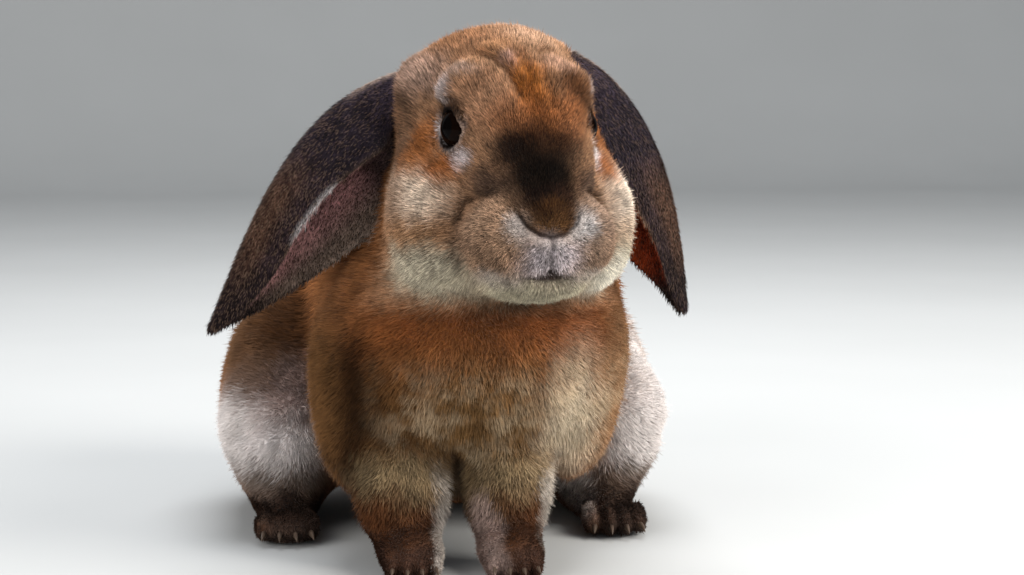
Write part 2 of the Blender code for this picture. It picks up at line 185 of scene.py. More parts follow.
class Fold:
    """A crease, or a ridge where depth is below 0: a run of corners in X and Z, seen from the front, with
    its width and depth.  It reaches only what is in front of back, and fades out on the way there."""

    def __init__(self, corners, width, depth, back, fade=6.0):
        self.corners = corners
        self.width = width
        self.depth = depth
        self.back = back
        self.fade = fade

    def pressed_in(self, points):
        """How deep it is at each point."""
        apart = to_run(points[:, (0, 2)], self.corners)
        reach = np.clip((self.back - points[:, 1]) / self.fade, 0, 1)
        return self.depth * reach * np.exp(-((apart / self.width) ** 2))


def both_folds(corners, *sizes):
    return [Fold([(sign * x, z) for x, z in corners], *sizes) for sign in (-1, 1)]


NOSTRILS = both_folds([(11.8, -0.6), (9.4, -5.0), (4.8, -8.3), (0.8, -9.4)], 0.9, 1.3, -48)
NOSTRIL_RIMS = both_folds([(13.4, -2.2), (10.8, -7.0), (5.4, -10.6), (1.6, -11.8)], 1.3, -0.4, -48)
LIP_CLEFT = Fold([(0, -10.0), (0, -22.0)], 0.9, 1.2, -50)
MOUTH = Fold([(-9, -25.0), (-5, -24.2), (0, -22.2), (5, -24.2), (9, -25.0)], 1.1, 1.5, -42)
MOUTH_OPENING = Fold([(-4, -25.6), (4, -25.6)], 1.5, 1.4, -48)
PAD_CREASES = [
    *both_folds([(17, 6), (21.5, 4.4), (25.5, 1), (28.5, -5)], 1.4, 2.4, -28),  # over the whisker pad
    *both_folds([(29.4, -9), (29.8, -15), (28.2, -22), (21, -29)], 2.4, 2.3, -29, 16),  # round its side
]
FURROW = Fold([(-1, 62), (-1.5, 50), (-1.5, 36)], 4.6, 3.4, -14)  # of the forehead
RIGHT_BROW = Fold([(-31, 50), (-26, 57), (-16.5, 60), (-10.5, 56.5), (-7, 50), (-5.2, 42)], 1.7, 3.8, -5)
LEFT_BROW = Fold([(8, 58), (15, 59.5), (24, 57), (30.5, 49.5)], 1.9, 2.6, -3)
HEAD_FOLDS = [
    *NOSTRILS, *NOSTRIL_RIMS, LIP_CLEFT, MOUTH, MOUTH_OPENING, *PAD_CREASES, FURROW, RIGHT_BROW,
    Fold([(-23, 65), (-13, 63), (-6.5, 58), (-3, 50)], 2.0, -1.8, -3),  # edge over the right brow
    LEFT_BROW,
    Fold([(6.5, 58), (5.6, 48), (6.0, 39)], 2.0, 2.2, -14),  # inside of the left brow
    *both_folds([(25, 36), (20, 30), (18, 22)], 3.0, 0.9, -25),  # in front of the eye
    Fold([(12, 33), (20, 30.5), (28, 33)], 4.0, 0.5, -20),  # below the left brow
]
BODY_FOLDS = [
    Fold([(-94, 46), (-80, 49), (-66, 52)], 3.0, 3.4, 20, 10),  # across the knees
    Fold([(-90, 60), (-78, 64), (-66, 62)], 4.0, 1.2, 20, 10),
    Fold([(92, 40), (78, 44), (64, 42)], 3.5, 2.6, 20, 10),
    Fold([(-44, 96), (-50, 70), (-46, 44)], 5.0, 1.6, -50, 10),  # between the shoulders and the breast
    Fold([(36, 92), (40, 70), (36, 48)], 5.0, 1.4, -50, 10),
    Fold([(-9, 50), (-9, 30)], 3.0, 2.0, -60, 10),  # between the forelegs
]


# ------------------------------------------------------------------ the skin's shape


def distance_to(centre, rotation, radii, points):
    """About how far each point is outside an ellipsoid."""
    radii = np.array(radii)
    local = (points - np.array(centre)) @ np.array(rotation)
    near = np.linalg.norm(local / radii, axis=-1)
    slope = np.linalg.norm(local / radii**2, axis=-1)
    return near * (near - 1) / np.maximum(slope, 1e-6)


def melted(one, other, melt):
    """The union of two distances, rounded off where they meet."""
    share = np.clip(0.5 + 0.5 * (other - one) / melt, 0, 1)
    return other + (one - other) * share - melt * share * (1 - share)


def to_run(flat, corners):
    """How far each flat point is from a run of corners."""
    nearest = np.full(len(flat), 1e9)
    for start, end in zip(corners, corners[1:]):
        start, way = np.array(start, float), np.array(end, float) - np.array(start, float)
        share = np.clip((flat - start) @ way / (way @ way), 0, 1)
        nearest = np.minimum(nearest, np.linalg.norm(flat - start - share[:, None] * way, axis=1))
    return nearest


def in_head(points):
    turned = np.array(HEAD.to_3x3())
    return (points - np.array(HEAD_CENTRE)) @ turned


def eye_centre(sign):
    """An eye's centre in the head; sign is 1 for the left eye and -1 for the right one."""
    return np.array((sign * EYE_CENTRE[0], EYE_CENTRE[1], EYE_CENTRE[2]))


def eye_axis(sign):
    """The way an eye looks, in the head."""
    return Vector((sign * 0.965, -0.24, 0.08)).normalized()


def round_eye(away, sign):
    """For ways from an eye's centre: along its axis, towards the nose, upwards, how far the upper lid
    comes down there and how much of that covers the eye's front upper quarter."""
    axis = np.array(eye_axis(sign))
    forward = np.array((0, -1.0, 0)) - axis * (-axis[1])
    forward /= np.linalg.norm(forward)
    upward = sign * np.cross(forward, axis)
    u, v = away @ forward / LID_LENGTH, away @ upward
    upper = np.clip(v / LID_RADIUS, 0, 1)
    return away @ axis, u, v, upper, LID_COVER * upper * np.clip(u / LID_RADIUS, 0, 1)


def ring_distance(local, sign):
    """How far each point in the head is from the lids' rounded edge, which is thicker above."""
    along, u, v, upper, cover = round_eye(local - eye_centre(sign), sign)
    radius = np.hypot(u, v)
    apart = np.hypot(radius - LID_RADIUS + 0.8 * upper + cover, along - LID_OUT - 0.012 * v**2 - 1.15 * cover)
    return apart - LID_THICKNESS - 0.6 * upper


def skin_distance(points):
    """How far each point is outside the skin."""
    masses = TRUNK_MASSES + [mass.placed(Matrix.Translation((HIPS_SHIFT, 0, 0))) for mass in HIP_MASSES]
    masses += [mass.placed(HEAD) for mass in HEAD_MASSES]
    distance = None
    for mass in masses:
        own = distance_to(mass.centre, mass.rotation, [radius - mass.coat for radius in mass.radii], points)
        distance = own if distance is None else melted(distance, own, mass.melt)
    front = points[:, 1] < 30
    low = points[front]
    pressed = distance[front]
    for fold in BODY_FOLDS:
        pressed = pressed + fold.pressed_in(low)
    distance[front] = pressed
    local = in_head(points)
    face = (local[:, 1] < 30) & (np.abs(local[:, 0]) < 60) & (local[:, 2] > -50)
    near = local[face]
    shaped = distance[face]
    for fold in HEAD_FOLDS:
        shaped = shaped + fold.pressed_in(near)
    for sign in (-1, 1):
        shaped = melted(shaped, ring_distance(near, sign), 2.2)
        socket = np.linalg.norm(near - eye_centre(sign), axis=1) - (EYE_RADIUS + 0.15)
        shaped = np.maximum(shaped, -socket)
    distance[face] = shaped
    return distance


def stretched_axis(low, high, fine_low, fine_high):
    """Grid places that stand close together on the head and wide apart elsewhere."""
    places = [fine_low]
    while places[-1] < fine_high:
        places.append(places[-1] + FINE)
    step = FINE
    while places[-1] < high:
        step = min(step * GROWTH, COARSE)
        places.append(places[-1] + step)
    step = FINE
    while places[0] > low:
        step = min(step * GROWTH, COARSE)
        places.insert(0, places[0] - step)
    return np.array(places)


STRIDE = 4  # a rough grid with every fourth place shows where the skin is
BAND = 17.0  # how near to the skin the distance is worked out at every place
FAR = 30.0  # the most that a distance counts elsewhere


def wrap_skin():
    """(points, quads) of the skin without its ears."""
    axes = [stretched_axis(-112, 110, -42, 66), stretched_axis(-168, 182, -164, -84),
            stretched_axis(-9, 228, 113, 224)]
    rough = np.stack(np.meshgrid(*[axis[::STRIDE] for axis in axes], indexing="ij"), axis=-1)
    far = skin_distance(rough.reshape(-1, 3)).reshape(rough.shape[:3])
    for axis in range(3):
        far = np.repeat(far, STRIDE, axis=axis)
    counts = [len(axis) for axis in axes]
    far = np.clip(far[:counts[0], :counts[1], :counts[2]], -FAR, FAR)
    where = np.nonzero(np.abs(far) < BAND)
    points = np.stack([axis[index] for axis, index in zip(axes, where)], axis=-1)
    values = far.astype(np.float32)
    values[where] = skin_distance(points)
    grid = openvdb.FloatGrid(FAR)
    grid.copyFromArray(values)
    corners, quads = grid.convertToQuads(isovalue=0.0)
    placed = [np.interp(corners[:, i], np.arange(counts[i]), axes[i]) for i in range(3)]
    return np.stack(placed, axis=-1), quads


# ------------------------------------------------------------------ the ears' shape


def smooth(x):
    x = min(max(x, 0.0), 1.0)
    return x * x * (3 - 2 * x)


def through(stops, s):
    """The height at share s of a smooth line through evenly spaced heights."""
    place = s * (len(stops) - 1)
    i = min(int(place), len(stops) - 2)
    r = place - i
    a, b, c, d = [stops[min(max(i + k, 0), len(stops) - 1)] for k in (-1, 0, 1, 2)]
    return b + 0.5 * r * (c - a + r * (2 * a - 5 * b + 4 * c - d + r * (3 * (b - c) + d - a)))


class Ear:
    """One lop ear, a leaf curled round the fold that runs from its root to its tip.

    fold holds the four points of a Bezier curve, near is the side that its shorter wall is on, and
    turn is 1 or -1, the way round that the leaf curls."""

    def __init__(self, name, near, turn, fold):
        self.name = name
        self.fold = [Vector(point) for point in fold]
        self.near = Vector(near).normalized()
        self.turn = turn

    def along(self, s):
        """The fold's point and direction at share s of the way to the tip."""
        a, b, c, d = self.fold
        r = 1 - s
        point = a * r**3 + b * (3 * r * r * s) + c * (3 * r * s * s) + d * s**3
        way = (b - a) * (3 * r * r) + (c - b) * (6 * r * s) + (d - c) * (3 * s * s)
        return point, way.normalized()

    def point(self, s, t, depth=0.0):
        """A point of the leaf: t runs from -1, the near rim, over the fold at 0 to 1, the far rim,
        and depth is how far it lies outside the middle of the leaf."""
        start, way = self.along(s)
        across = way.cross(self.near).normalized() * self.turn
        near = across.cross(way).normalized()
        near = near if near.dot(self.near) > 0 else -near
        shut = 1 - smooth(s / 0.28)  # 1 at the root, where the leaf closes to a tube
        most = math.radians(78 + 88 * shut)
        radius = 7.5 + 5.0 * shut - 4.5 * smooth((s - 0.5) / 0.5)
        run = abs(t) * through(EAR_WALLS[self.name][int(t > 0)], s) * math.sqrt(max(1 - s**12, 0))
        run += (radius * most * abs(t) - run) * shut
        turned = min(run / radius, most)
        rest = run - turned * radius
        rise = (radius + depth) * math.sin(turned) + rest * math.cos(most)
        reach = radius - (radius + depth) * math.cos(turned) + rest * math.sin(most)
        return start + across * reach + near * (rise if t < 0 else -rise)


EARS = [
    Ear("ear_right", (-0.35, -1.0, 0.15), -1,
        [(-17.9, -65.5, 202.3), (-72.0, -65.2, 195.4), (-88.6, -78.4, 140.8), (-108.6, -76.2, 95)]),
    Ear("ear_left", (0.40, -0.92, 0.1), 1,
        [(41.4, -64.4, 208.1), (80.4, -65.3, 189.4), (84.7, -73.5, 135.9), (87.3, -80.0, 101)]),
]
EAR_ROWS, EAR_COLUMNS = 64, 44
EAR_END, EAR_RIM = 0.98, 0.965  # how far the skin reaches towards the coat's own tip and rim


def ear_skin(ear):
    """(points, faces, places) of one ear; a place is the share along, the share across and the side."""
    points, places = [], []
    for depth in (EAR_SKIN / 2, -EAR_SKIN / 2):
        for i in range(EAR_ROWS + 1):
            s = EAR_END * i / EAR_ROWS
            for j in range(EAR_COLUMNS + 1):
                t = EAR_RIM * (2 * j / EAR_COLUMNS - 1)
                edge = 1 - 0.75 * abs(2 * j / EAR_COLUMNS - 1) ** 8
                points.append(ear.point(s, t, depth * edge))
                places.append((s, t, 1 if depth > 0 else -1))
    wide, sheet = EAR_COLUMNS + 1, (EAR_ROWS + 1) * (EAR_COLUMNS + 1)
    faces = []
    for i in range(EAR_ROWS):
        for j in range(EAR_COLUMNS):
            corners = (i * wide + j, i * wide + j + 1, (i + 1) * wide + j + 1, (i + 1) * wide + j)
            faces.append(corners)
            faces.append(tuple(sheet + corner for corner in reversed(corners)))
    rim = [(0, j) for j in range(EAR_COLUMNS)] + [(i, EAR_COLUMNS) for i in range(EAR_ROWS)]
    rim += [(EAR_ROWS, j) for j in range(EAR_COLUMNS, 0, -1)] + [(i, 0) for i in range(EAR_ROWS, 0, -1)]
    rim = [i * wide + j for i, j in rim]
    for first, second in zip(rim, rim[1:] + rim[:1]):
        faces.append((second, first, sheet + first, sheet + second))
    return points, faces, places


# ------------------------------------------------------------------ meshes

_eye = HEAD @ Vector(EYE_CENTRE)
_low, _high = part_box("eye_left")
SHIFT = Vector(((_low[0] + _high[0]) / 2, (_low[1] + _high[1]) / 2, 0)) - Vector((_eye.x, _eye.y, 0)) * MM


def add_mesh(name, points, faces):
    """A new object from points in millimetres, as the body's sizes are, set down in the row's frame."""
    mesh = bpy.data.meshes.new(name)
    placed = np.asarray([tuple(point) for point in points], dtype=float) * MM + np.array(SHIFT)
    mesh.from_pydata(placed.tolist(), [], [tuple(face) for face in faces])
    mesh.update()
    made = bpy.data.objects.new(name, mesh)
    bpy.context.scene.collection.objects.link(made)
    return made


def turn_outwards(made):
    shell = bmesh.new()
    shell.from_mesh(made.data)
    bmesh.ops.recalc_face_normals(shell, faces=shell.faces[:])
    if shell.calc_volume(signed=True) < 0:
        bmesh.ops.reverse_faces(shell, faces=shell.faces[:])
    shell.to_mesh(made.data)
    shell.free()


def evaluated_mesh(made):
    settled = bpy.context.evaluated_depsgraph_get()
    return bpy.data.meshes.new_from_object(made.evaluated_get(settled), depsgraph=settled)


def apply_modifiers(made):
    mesh = evaluated_mesh(made)
    made.modifiers.clear()
    made.data = mesh
    mesh.name = made.name


def combine(made, other, operation):
    boolean = made.modifiers.new("boolean", "BOOLEAN")
    boolean.operation = operation
    boolean.solver = "MANIFOLD"
    boolean.object = other
    apply_modifiers(made)
    bpy.data.objects.remove(other)


def make_skin():
    """The whole skin as one closed mesh, a search tree of the ears' points, and each of those points'
    (ear's number, place)."""
    points, quads = wrap_skin()
    skin = add_mesh("skin", points, quads.tolist())
    ears = kdtree.KDTree(2 * 2 * (EAR_ROWS + 1) * (EAR_COLUMNS + 1))
    facts = []
    for number, ear in enumerate(EARS):
        ear_points, faces, places = ear_skin(ear)
        for point, place in zip(ear_points, places):
            ears.insert(point, len(facts))
            facts.append((number, place))
        leaf_mesh = add_mesh(ear.name, ear_points, faces)
        turn_outwards(leaf_mesh)
        combine(skin, leaf_mesh, "UNION")
    ears.balance()
    floor = add_mesh("sole_cut", [(x, y, z) for x in (-150, 150) for y in (-200, 200) for z in (-40, SOLE)],
                     [(0, 1, 3, 2), (4, 6, 7, 5), (0, 4, 5, 1), (2, 3, 7, 6), (0, 2, 6, 4), (1, 5, 7, 3)])
    turn_outwards(floor)
    combine(skin, floor, "DIFFERENCE")
    return skin, ears, facts


# ------------------------------------------------------------------ the coat's colours


def linear(colour):
    """A colour given as 0 to 255 on a screen, as light."""
    share = np.asarray(colour, dtype=float) / 255
    return np.where(share <= 0.04045, share / 12.92, ((share + 0.055) / 1.055) ** 2.4)


CHARCOAL, TAUPE, PINK, EMBER = (54, 45, 54), (142, 120, 106), (232, 168, 164), (214, 80, 20)


class Patch:
    """A soft-edged patch of one colour: an ellipsoid in millimetres, its strength and its edge's softness."""

    def __init__(self, centre, radii, colour, strength=1.0, soft=0.45):
        self.centre = centre
        self.radii = radii
        self.colour = colour
        self.strength = strength
        self.soft = soft

    def weight(self, points):
        apart = np.linalg.norm((points - np.array(self.centre)) / np.array(self.radii), axis=1)
        share = np.clip((1 + self.soft - apart) / (2 * self.soft), 0, 1)
        return self.strength * share * share * (3 - 2 * share)


def both_patches(centre, radii, colour, strength=1.0, soft=0.45):
    x, y, z = centre
    return [Patch((sign * x, y, z), radii, colour, strength, soft) for sign in (-1, 1)]


BODY_PATCHES = [
    Patch((0, 30, 190), (60, 120, 40), (128, 84, 52), 0.9, 0.5),  # along the back
    Patch((-55, -92, 60), (24, 54, 76), (50, 31, 14), 0.88, 0.8),  # painted shade on the right side of the breast
    Patch((-56, -76, 112), (26, 44, 16), (160, 106, 66), 0.8, 0.5),  # over the right shoulder
    Patch((4, -118, 104), (60, 40, 20), (156, 92, 48), 0.9, 0.5),  # under the chin
    Patch((-2, -112, 60), (36, 36, 34), (112, 86, 52), 0.8, 0.65),  # middle of the breast
    # more painted shade on the right side of the breast
    Patch((-54, -96, 62), (12, 44, 40), (36, 22, 10), 0.65, 0.8),
    Patch((37, -104, 60), (13, 34, 30), (222, 206, 180), 0.85, 0.7),  # left side of the breast
    Patch((60, -86, 70), (14, 40, 44), (156, 120, 86), 0.85, 0.6),
    Patch((-65, -78, 66), (11, 40, 44), (112, 78, 46), 0.75, 0.6),
    Patch((-8, -60, 22), (34, 60, 26), (92, 78, 60), 0.9),  # belly between the legs, its cream darkened with painted shade
    Patch((-82, 20, 88), (28, 80, 28), (62, 38, 19), 0.95, 0.4),  # flanks, the right one darkened further with painted shade behind the shoulder
    Patch((82, 50, 108), (28, 80, 20), (66, 40, 21), 0.95, 0.4),
    *both_patches((88, -16, 44), (30, 54, 26), (214, 206, 202), 0.97, 0.45),  # haunch
    Patch((84, 16, 76), (24, 54, 16), (216, 208, 203), 0.95, 0.6),  # top of the left haunch
    Patch((-72, -30, 67), (22, 24, 17), (178, 152, 144), 0.8, 0.6),  # over the right knee
    # brown over the top of the right haunch, darkened with painted shade behind the shoulder
    Patch((-92, 0, 72), (20, 50, 14), (90, 63, 43), 0.9, 0.5),
    Patch((-78, -40, 44), (16, 24, 12), (232, 224, 222), 0.75, 0.6),
    *both_patches((78, 76, 50), (26, 50, 44), (150, 112, 80), 0.8, 0.6),  # back of the haunch
    *both_patches((78, -20, 21), (34, 60, 10), (98, 80, 66), 0.85, 0.5),  # below the knee
    *both_patches((74, -2, 6), (20, 80, 15), (54, 39, 32), 0.95, 0.35),  # hind foot
    Patch((50, -8, 24), (9, 44, 20), (206, 197, 190), 0.85, 0.5),  # inner side of the left one
    *both_patches((71, -38, 3), (22, 22, 6), (92, 74, 64), 0.6, 0.5),  # its toes
    *[Patch((x, -94, 38), (19, 26, 12), (160, 138, 104), 0.8, 0.5) for x in (-30, 12.5)],  # forearms
    *[Patch((x, -98, 21), (23, 30, 13), (86, 50, 27), 0.9, 0.5) for x in (-34, 17)],
    *[Patch((x, -104, 4), (22, 34, 12), (70, 48, 38), 0.95, 0.4) for x in (-28, 12.5)],  # forepaws
    # painted shade on the inner top of the left forearm, between the forearms
    Patch((-1, -96, 36), (9, 26, 14), (92, 74, 52), 0.75, 0.6),
    Patch((-15, -104, 16), (5, 26, 24), (214, 204, 194), 0.85, 0.5),  # inside of the right forearm
    Patch((2, -104, 14), (6, 26, 18), (176, 152, 142), 0.75, 0.5),  # inside of the left forearm
    Patch((30, -96, 28), (5, 22, 18), (222, 212, 200), 0.85, 0.5),  # outside of the left forearm
    Patch((0, 176, 70), (22, 20, 34), (70, 50, 40), 0.9),  # outside of the tail
    Patch((0, 150, 40), (30, 26, 24), (214, 205, 196), 0.8),  # under the tail
]

HEAD_PATCHES = [
    Patch((0, 8, 68), (42, 44, 17), (194, 150, 116), 0.9, 0.55),  # crown
    Patch((-16, 2, 67), (15, 26, 12), (194, 138, 98), 0.7, 0.6),
    Patch((14, 8, 68), (14, 26, 8), (204, 166, 138), 0.6, 0.6),
    Patch((0, 40, 40), (50, 26, 50), (150, 98, 62), 0.8, 0.5),  # nape
    Patch((-36, 6, 53), (12, 18, 11), (200, 168, 150), 0.8, 0.55),  # right temple
    Patch((-18, -34, 43), (14, 16, 14), (196, 148, 114), 0.8, 0.5),  # right brow
    Patch((20, -34, 42.5), (11, 16, 12), (96, 56, 27), 0.88, 0.55),  # left brow
    Patch((16, -26, 54.5), (8.5, 12, 3.8), (196, 154, 130), 0.7, 0.6),  # its lit upper edge
    Patch((-0.5, -36, 45), (7.0, 18, 20), (176, 106, 44), 0.95, 0.6),  # furrow of the forehead
    Patch((-15, -16, 61), (12, 12, 3.5), (206, 150, 104), 0.7, 0.6),  # tufted edge of the crown, lighter orange with a painted highlight
    Patch((-3.5, -27, 57.5), (6, 8, 3.6), (190, 152, 140), 0.7, 0.5),  # painted pinkish highlight over the top of the forehead's fold
    *both_patches((31, -16, 45.5), (4.2, 8, 4.4), (214, 202, 200), 0.75, 0.55),  # pale spot over the eye
    # painted pinkish-grey sheen on top of the right brow
    Patch((-24, -18, 52.5), (8, 9, 3), (178, 156, 144), 0.6, 0.6),
    *both_patches((30.5, -20, 39.4), (7, 8, 2.8), (66, 44, 30), 0.85, 0.6),  # dark brown in the crease of the upper lid, partly fur and partly painted shade under the brow
    *both_patches((47, 4, 31), (10, 17, 24), (40, 34, 34), 0.94, 0.5),  # in front of the ear
    Patch((38, 16, 54), (8, 16, 9), (84, 72, 78), 0.85, 0.6),  # between the crown and the left ear
    Patch((41, 20, 60), (8, 12, 4), (206, 186, 176), 0.8, 0.6),
    Patch((-40.5, -11, 4), (12, 24, 9.5), (255, 232, 208), 0.92, 0.65),  # right cheek
    Patch((-40, -14, -9.5), (14, 18, 6), (172, 128, 90), 0.75, 0.65),
    Patch((-47.5, 2, 1), (6.0, 20, 15), (136, 100, 74), 0.8, 0.6),
    Patch((43, -8, 0), (18, 28, 18), (240, 222, 202), 0.95, 0.5),  # left cheek
    Patch((40, -18, -10), (9, 18, 6), (198, 166, 136), 0.6, 0.6),
    *both_patches((36, -20, -25), (22, 28, 11), (202, 192, 168), 0.95, 0.5),  # below the cheek, cream darkened with painted shade under the jaw
    Patch((34, -30, -27), (12, 22, 8), (248, 240, 222), 0.85, 0.6),
    *both_patches((35.5, -7, 25), (6, 10, 12), (164, 98, 48), 0.9, 0.5),  # behind the eye
    *both_patches((40, -4, 16), (6, 12, 6.5), (168, 108, 64), 0.7, 0.6),
    *both_patches((34, -23, 14.5), (8.5, 9, 6), (166, 96, 44), 0.9, 0.5),  # below the eye
    Patch((-26.2, -29, 18.2), (3.8, 6, 3.6), (240, 230, 232), 0.95, 0.5),  # its front corner
    Patch((29, -27, 21.5), (4.8, 8, 6.5), (246, 236, 234), 0.95, 0.5),
    Patch((2, -44, 33), (20, 18, 10), (166, 102, 58), 0.85, 0.55),  # bridge
    *both_patches((19.5, -46, 10), (9.5, 12, 4.6), (72, 56, 49), 0.8, 0.6),  # soot over the pads
    Patch((-1.0, -48, 23), (14.5, 15, 9.5), (38, 21, 12), 0.92, 0.5),  # sooty smudge
    Patch((-12, -48, 22.2), (6.8, 10, 6), (32, 19, 13), 0.9, 0.5),
    Patch((4, -48, 24), (5, 9, 4), (84, 54, 34), 0.65, 0.6),
    Patch((-1.8, -56, 12), (12.5, 14, 9.5), (9, 6, 4), 0.97, 0.42),
    Patch((-20, -52, -9), (14, 16, 15), (200, 162, 132), 0.95, 0.4),  # right whisker pad
    Patch((20, -52, -9), (14, 16, 15), (190, 159, 136), 0.95, 0.4),  # left whisker pad
    Patch((-1.5, -60, 4.5), (12.5, 11, 5.8), (34, 20, 14), 0.92, 0.45),  # top of the nose
    Patch((6, -57, 6), (4, 8, 4.5), (64, 39, 26), 0.6, 0.6),
    Patch((-13, -57, -6.5), (4.2, 8, 6), (232, 222, 216), 0.75, 0.6),  # beside the nostrils
    Patch((12.6, -58, -5.5), (4.6, 8, 6.2), (250, 243, 240), 0.92, 0.6),
    *both_patches((25, -48, -16), (10, 14, 9), (148, 116, 92), 0.6, 0.6),
    *both_patches((15, -50, -26), (13, 14, 4.5), (206, 196, 184), 0.75, 0.6),
    Patch((0, -62, -2.5), (9.5, 8, 6), (82, 52, 26), 0.9, 0.45),  # end of the nose
    Patch((0, -63, -6), (8.5, 7, 3.8), (140, 98, 58), 0.85, 0.5),
    Patch((0, -60, -17.5), (11.5, 8, 9.0), (222, 211, 214), 0.92, 0.55),  # upper lip
    Patch((0, -46, -34), (30, 26, 8.5), (186, 177, 152), 0.95, 0.4),  # chin, cream darkened with painted shade
    Patch((0, -58, -25.2), (9.0, 7, 1.7), (48, 32, 26), 0.92, 0.5),  # painted shade in the mouth's opening
]


def wobbled(points, reach=2.2):
    """Points moved about a little, so that the patches' edges wander."""
    waves = ((0.21, 0.13, -0.17, 0.3), (-0.11, 0.24, 0.19, 1.7), (0.36, -0.29, 0.33, 2.9))
    moved = points.copy()
    for axis in range(3):
        for a, b, c, start in waves:
            phase = points @ np.array((a, b, c)) * (1 + 0.15 * axis) + start + axis
            moved[:, axis] += reach / 2 * np.sin(phase)
    return moved


def painted(colour, patches, points):
    for patch in patches:
        weight = patch.weight(points)[:, None]
        colour = colour * (1 - weight) + linear(patch.colour) * weight
    return colour


def steps(value, low, high):
    """0 below low, 1 above high and smooth between."""
    share = np.clip((value - low) / (high - low), 0, 1)
    return share * share * (3 - 2 * share)


def mixed(one, other, weight):
    weight = weight[:, None] if getattr(one, "ndim", 1) == 2 else weight
    return one * (1 - weight) + other * weight


def plain(colour, count):
    return np.tile(linear(colour), (count, 1))


def layered(colour, *layers):
    """A colour with others laid over it, each as (colour, weight at each point)."""
    for over, weight in layers:
        colour = mixed(colour, linear(over), weight)
    return colour


def eye_facts(local):
    """For the nearer eye: how far round from its axis in degrees, how far off the ball, and the way
    that leads off it to the side."""
    best = None
    for sign in (-1, 1):
        away = local - eye_centre(sign)
        length = np.linalg.norm(away, axis=1)
        axis = np.array(eye_axis(sign))
        along = away @ axis
        angle = np.degrees(np.arccos(np.clip(along / np.maximum(length, 1e-6), -1, 1)))
        flat = away - along[:, None] * axis
        cover = round_eye(away * (EYE_RADIUS / np.maximum(length, 1e-6))[:, None], sign)[4]
        way = flat / np.linalg.norm(flat, axis=1)[:, None] + 0.4 * away / length[:, None]
        facts = np.column_stack((angle + 9 * cover, length - EYE_RADIUS, way))
        best = facts if best is None else np.where((facts[:, 1] < best[:, 1])[:, None], facts, best)
    return best[:, 0], best[:, 1], best[:, 2:]


def tangent(vectors, normals):
    flat = vectors - (vectors * normals).sum(1)[:, None] * normals
    return flat / np.maximum(np.linalg.norm(flat, axis=1), 1e-6)[:, None]


def places_on_ears(points, ears, facts):
    """For each point, is it on an ear, and that ear's number, share along, share across and side."""
    place = np.zeros((len(points), 4))
    is_ear = np.zeros(len(points), dtype=bool)
    # only the upper front of the body is near enough to an ear
    for index in np.nonzero((points[:, 2] > 85) & (points[:, 1] < -40))[0]:
        _, found, apart = ears.find(points[index])
        if apart < 2.0:
            number, where = facts[found]
            is_ear[index] = True
            place[index] = (number, *where)
    return is_ear, place


def share_of_head(local):
    """1 on the head, 0 on the body and between over the nape and under the jaw."""
    behind = local[:, 1] - 0.30 * (local[:, 2] - 10)
    share = steps(-behind, -34, -14) * steps(local[:, 2], -46, -36)
    return share * steps(-np.abs(local[:, 0]), -64, -58)


def along_folds(local, folds, near, far, front=42):
    """1 along the run of each fold, 0 beyond far."""
    share = np.zeros(len(local))
    for fold in folds:
        apart = to_run(local[:, (0, 2)], fold.corners)
        share = np.maximum(share, steps(-apart, -far, -near) * steps(-local[:, 1], front, front + 6))
    return share


def ear_colours(place):
    """The colour at each place on the ears, and how much of the pale fringe grows there."""
    s, t, side = place[:, 1], place[:, 2], place[:, 3]
    left = place[:, 0] > 0.5
    middle = -np.abs(t)
    brown = steps(s, 0.40, 0.60) * (1 - 0.8 * steps(-t, 0.45, 0.75))
    # the bluish grey along the fold of the outer side is a painted sheen
    outer = layered(plain(CHARCOAL, len(place)), ((104, 75, 60), brown), ((50, 39, 40), steps(s, 0.70, 0.90)),
                    ((72, 60, 70), 0.5 * steps(middle, -0.35, -0.02) * steps(-s, -0.7, -0.1)))
    outer = outer * (1.6 - 0.85 * steps(s, 0.1, 0.3) + (0.2 + 0.2 * steps(s, 0.2, 0.45)) * left)[:, None]
    outer = layered(outer, ((206, 178, 160), 0.85 * steps(-s, -0.26, -0.16) * steps(middle, -0.30, -0.08)))
    inner = layered(plain(PINK, len(place)), (TAUPE, steps(t, 0.50, 0.82)),
                    ((128, 76, 74), 0.6 * steps(middle, -0.30, 0.0)),
                    ((62, 54, 54), 0.85 * steps(-s, -0.42, -0.28)), (EMBER, 0.92 * left),
                    ((60, 46, 44), steps(s, 0.78, 0.90)))
    pale = steps(s, 0.45, 0.50) * steps(-s, -0.70, -0.63) * steps(-t, 0.5, 0.6) * ~left
    rim = steps(np.abs(t), 0.90, 0.96)
    edge = layered(plain((92, 72, 60), len(place)), ((150, 116, 90), 1.0 * left * (t < 0)),
                   ((180, 158, 142), 1.0 * ~left * (t > 0)), ((232, 224, 222), pale),
                   ((46, 36, 38), steps(s, 0.68, 0.76)))
    colour = mixed(outer, inner, 1.0 * (side < 0))
    return mixed(colour, edge, (0.7 + 0.25 * pale) * rim * steps(s, 0.12, 0.22)), rim * pale


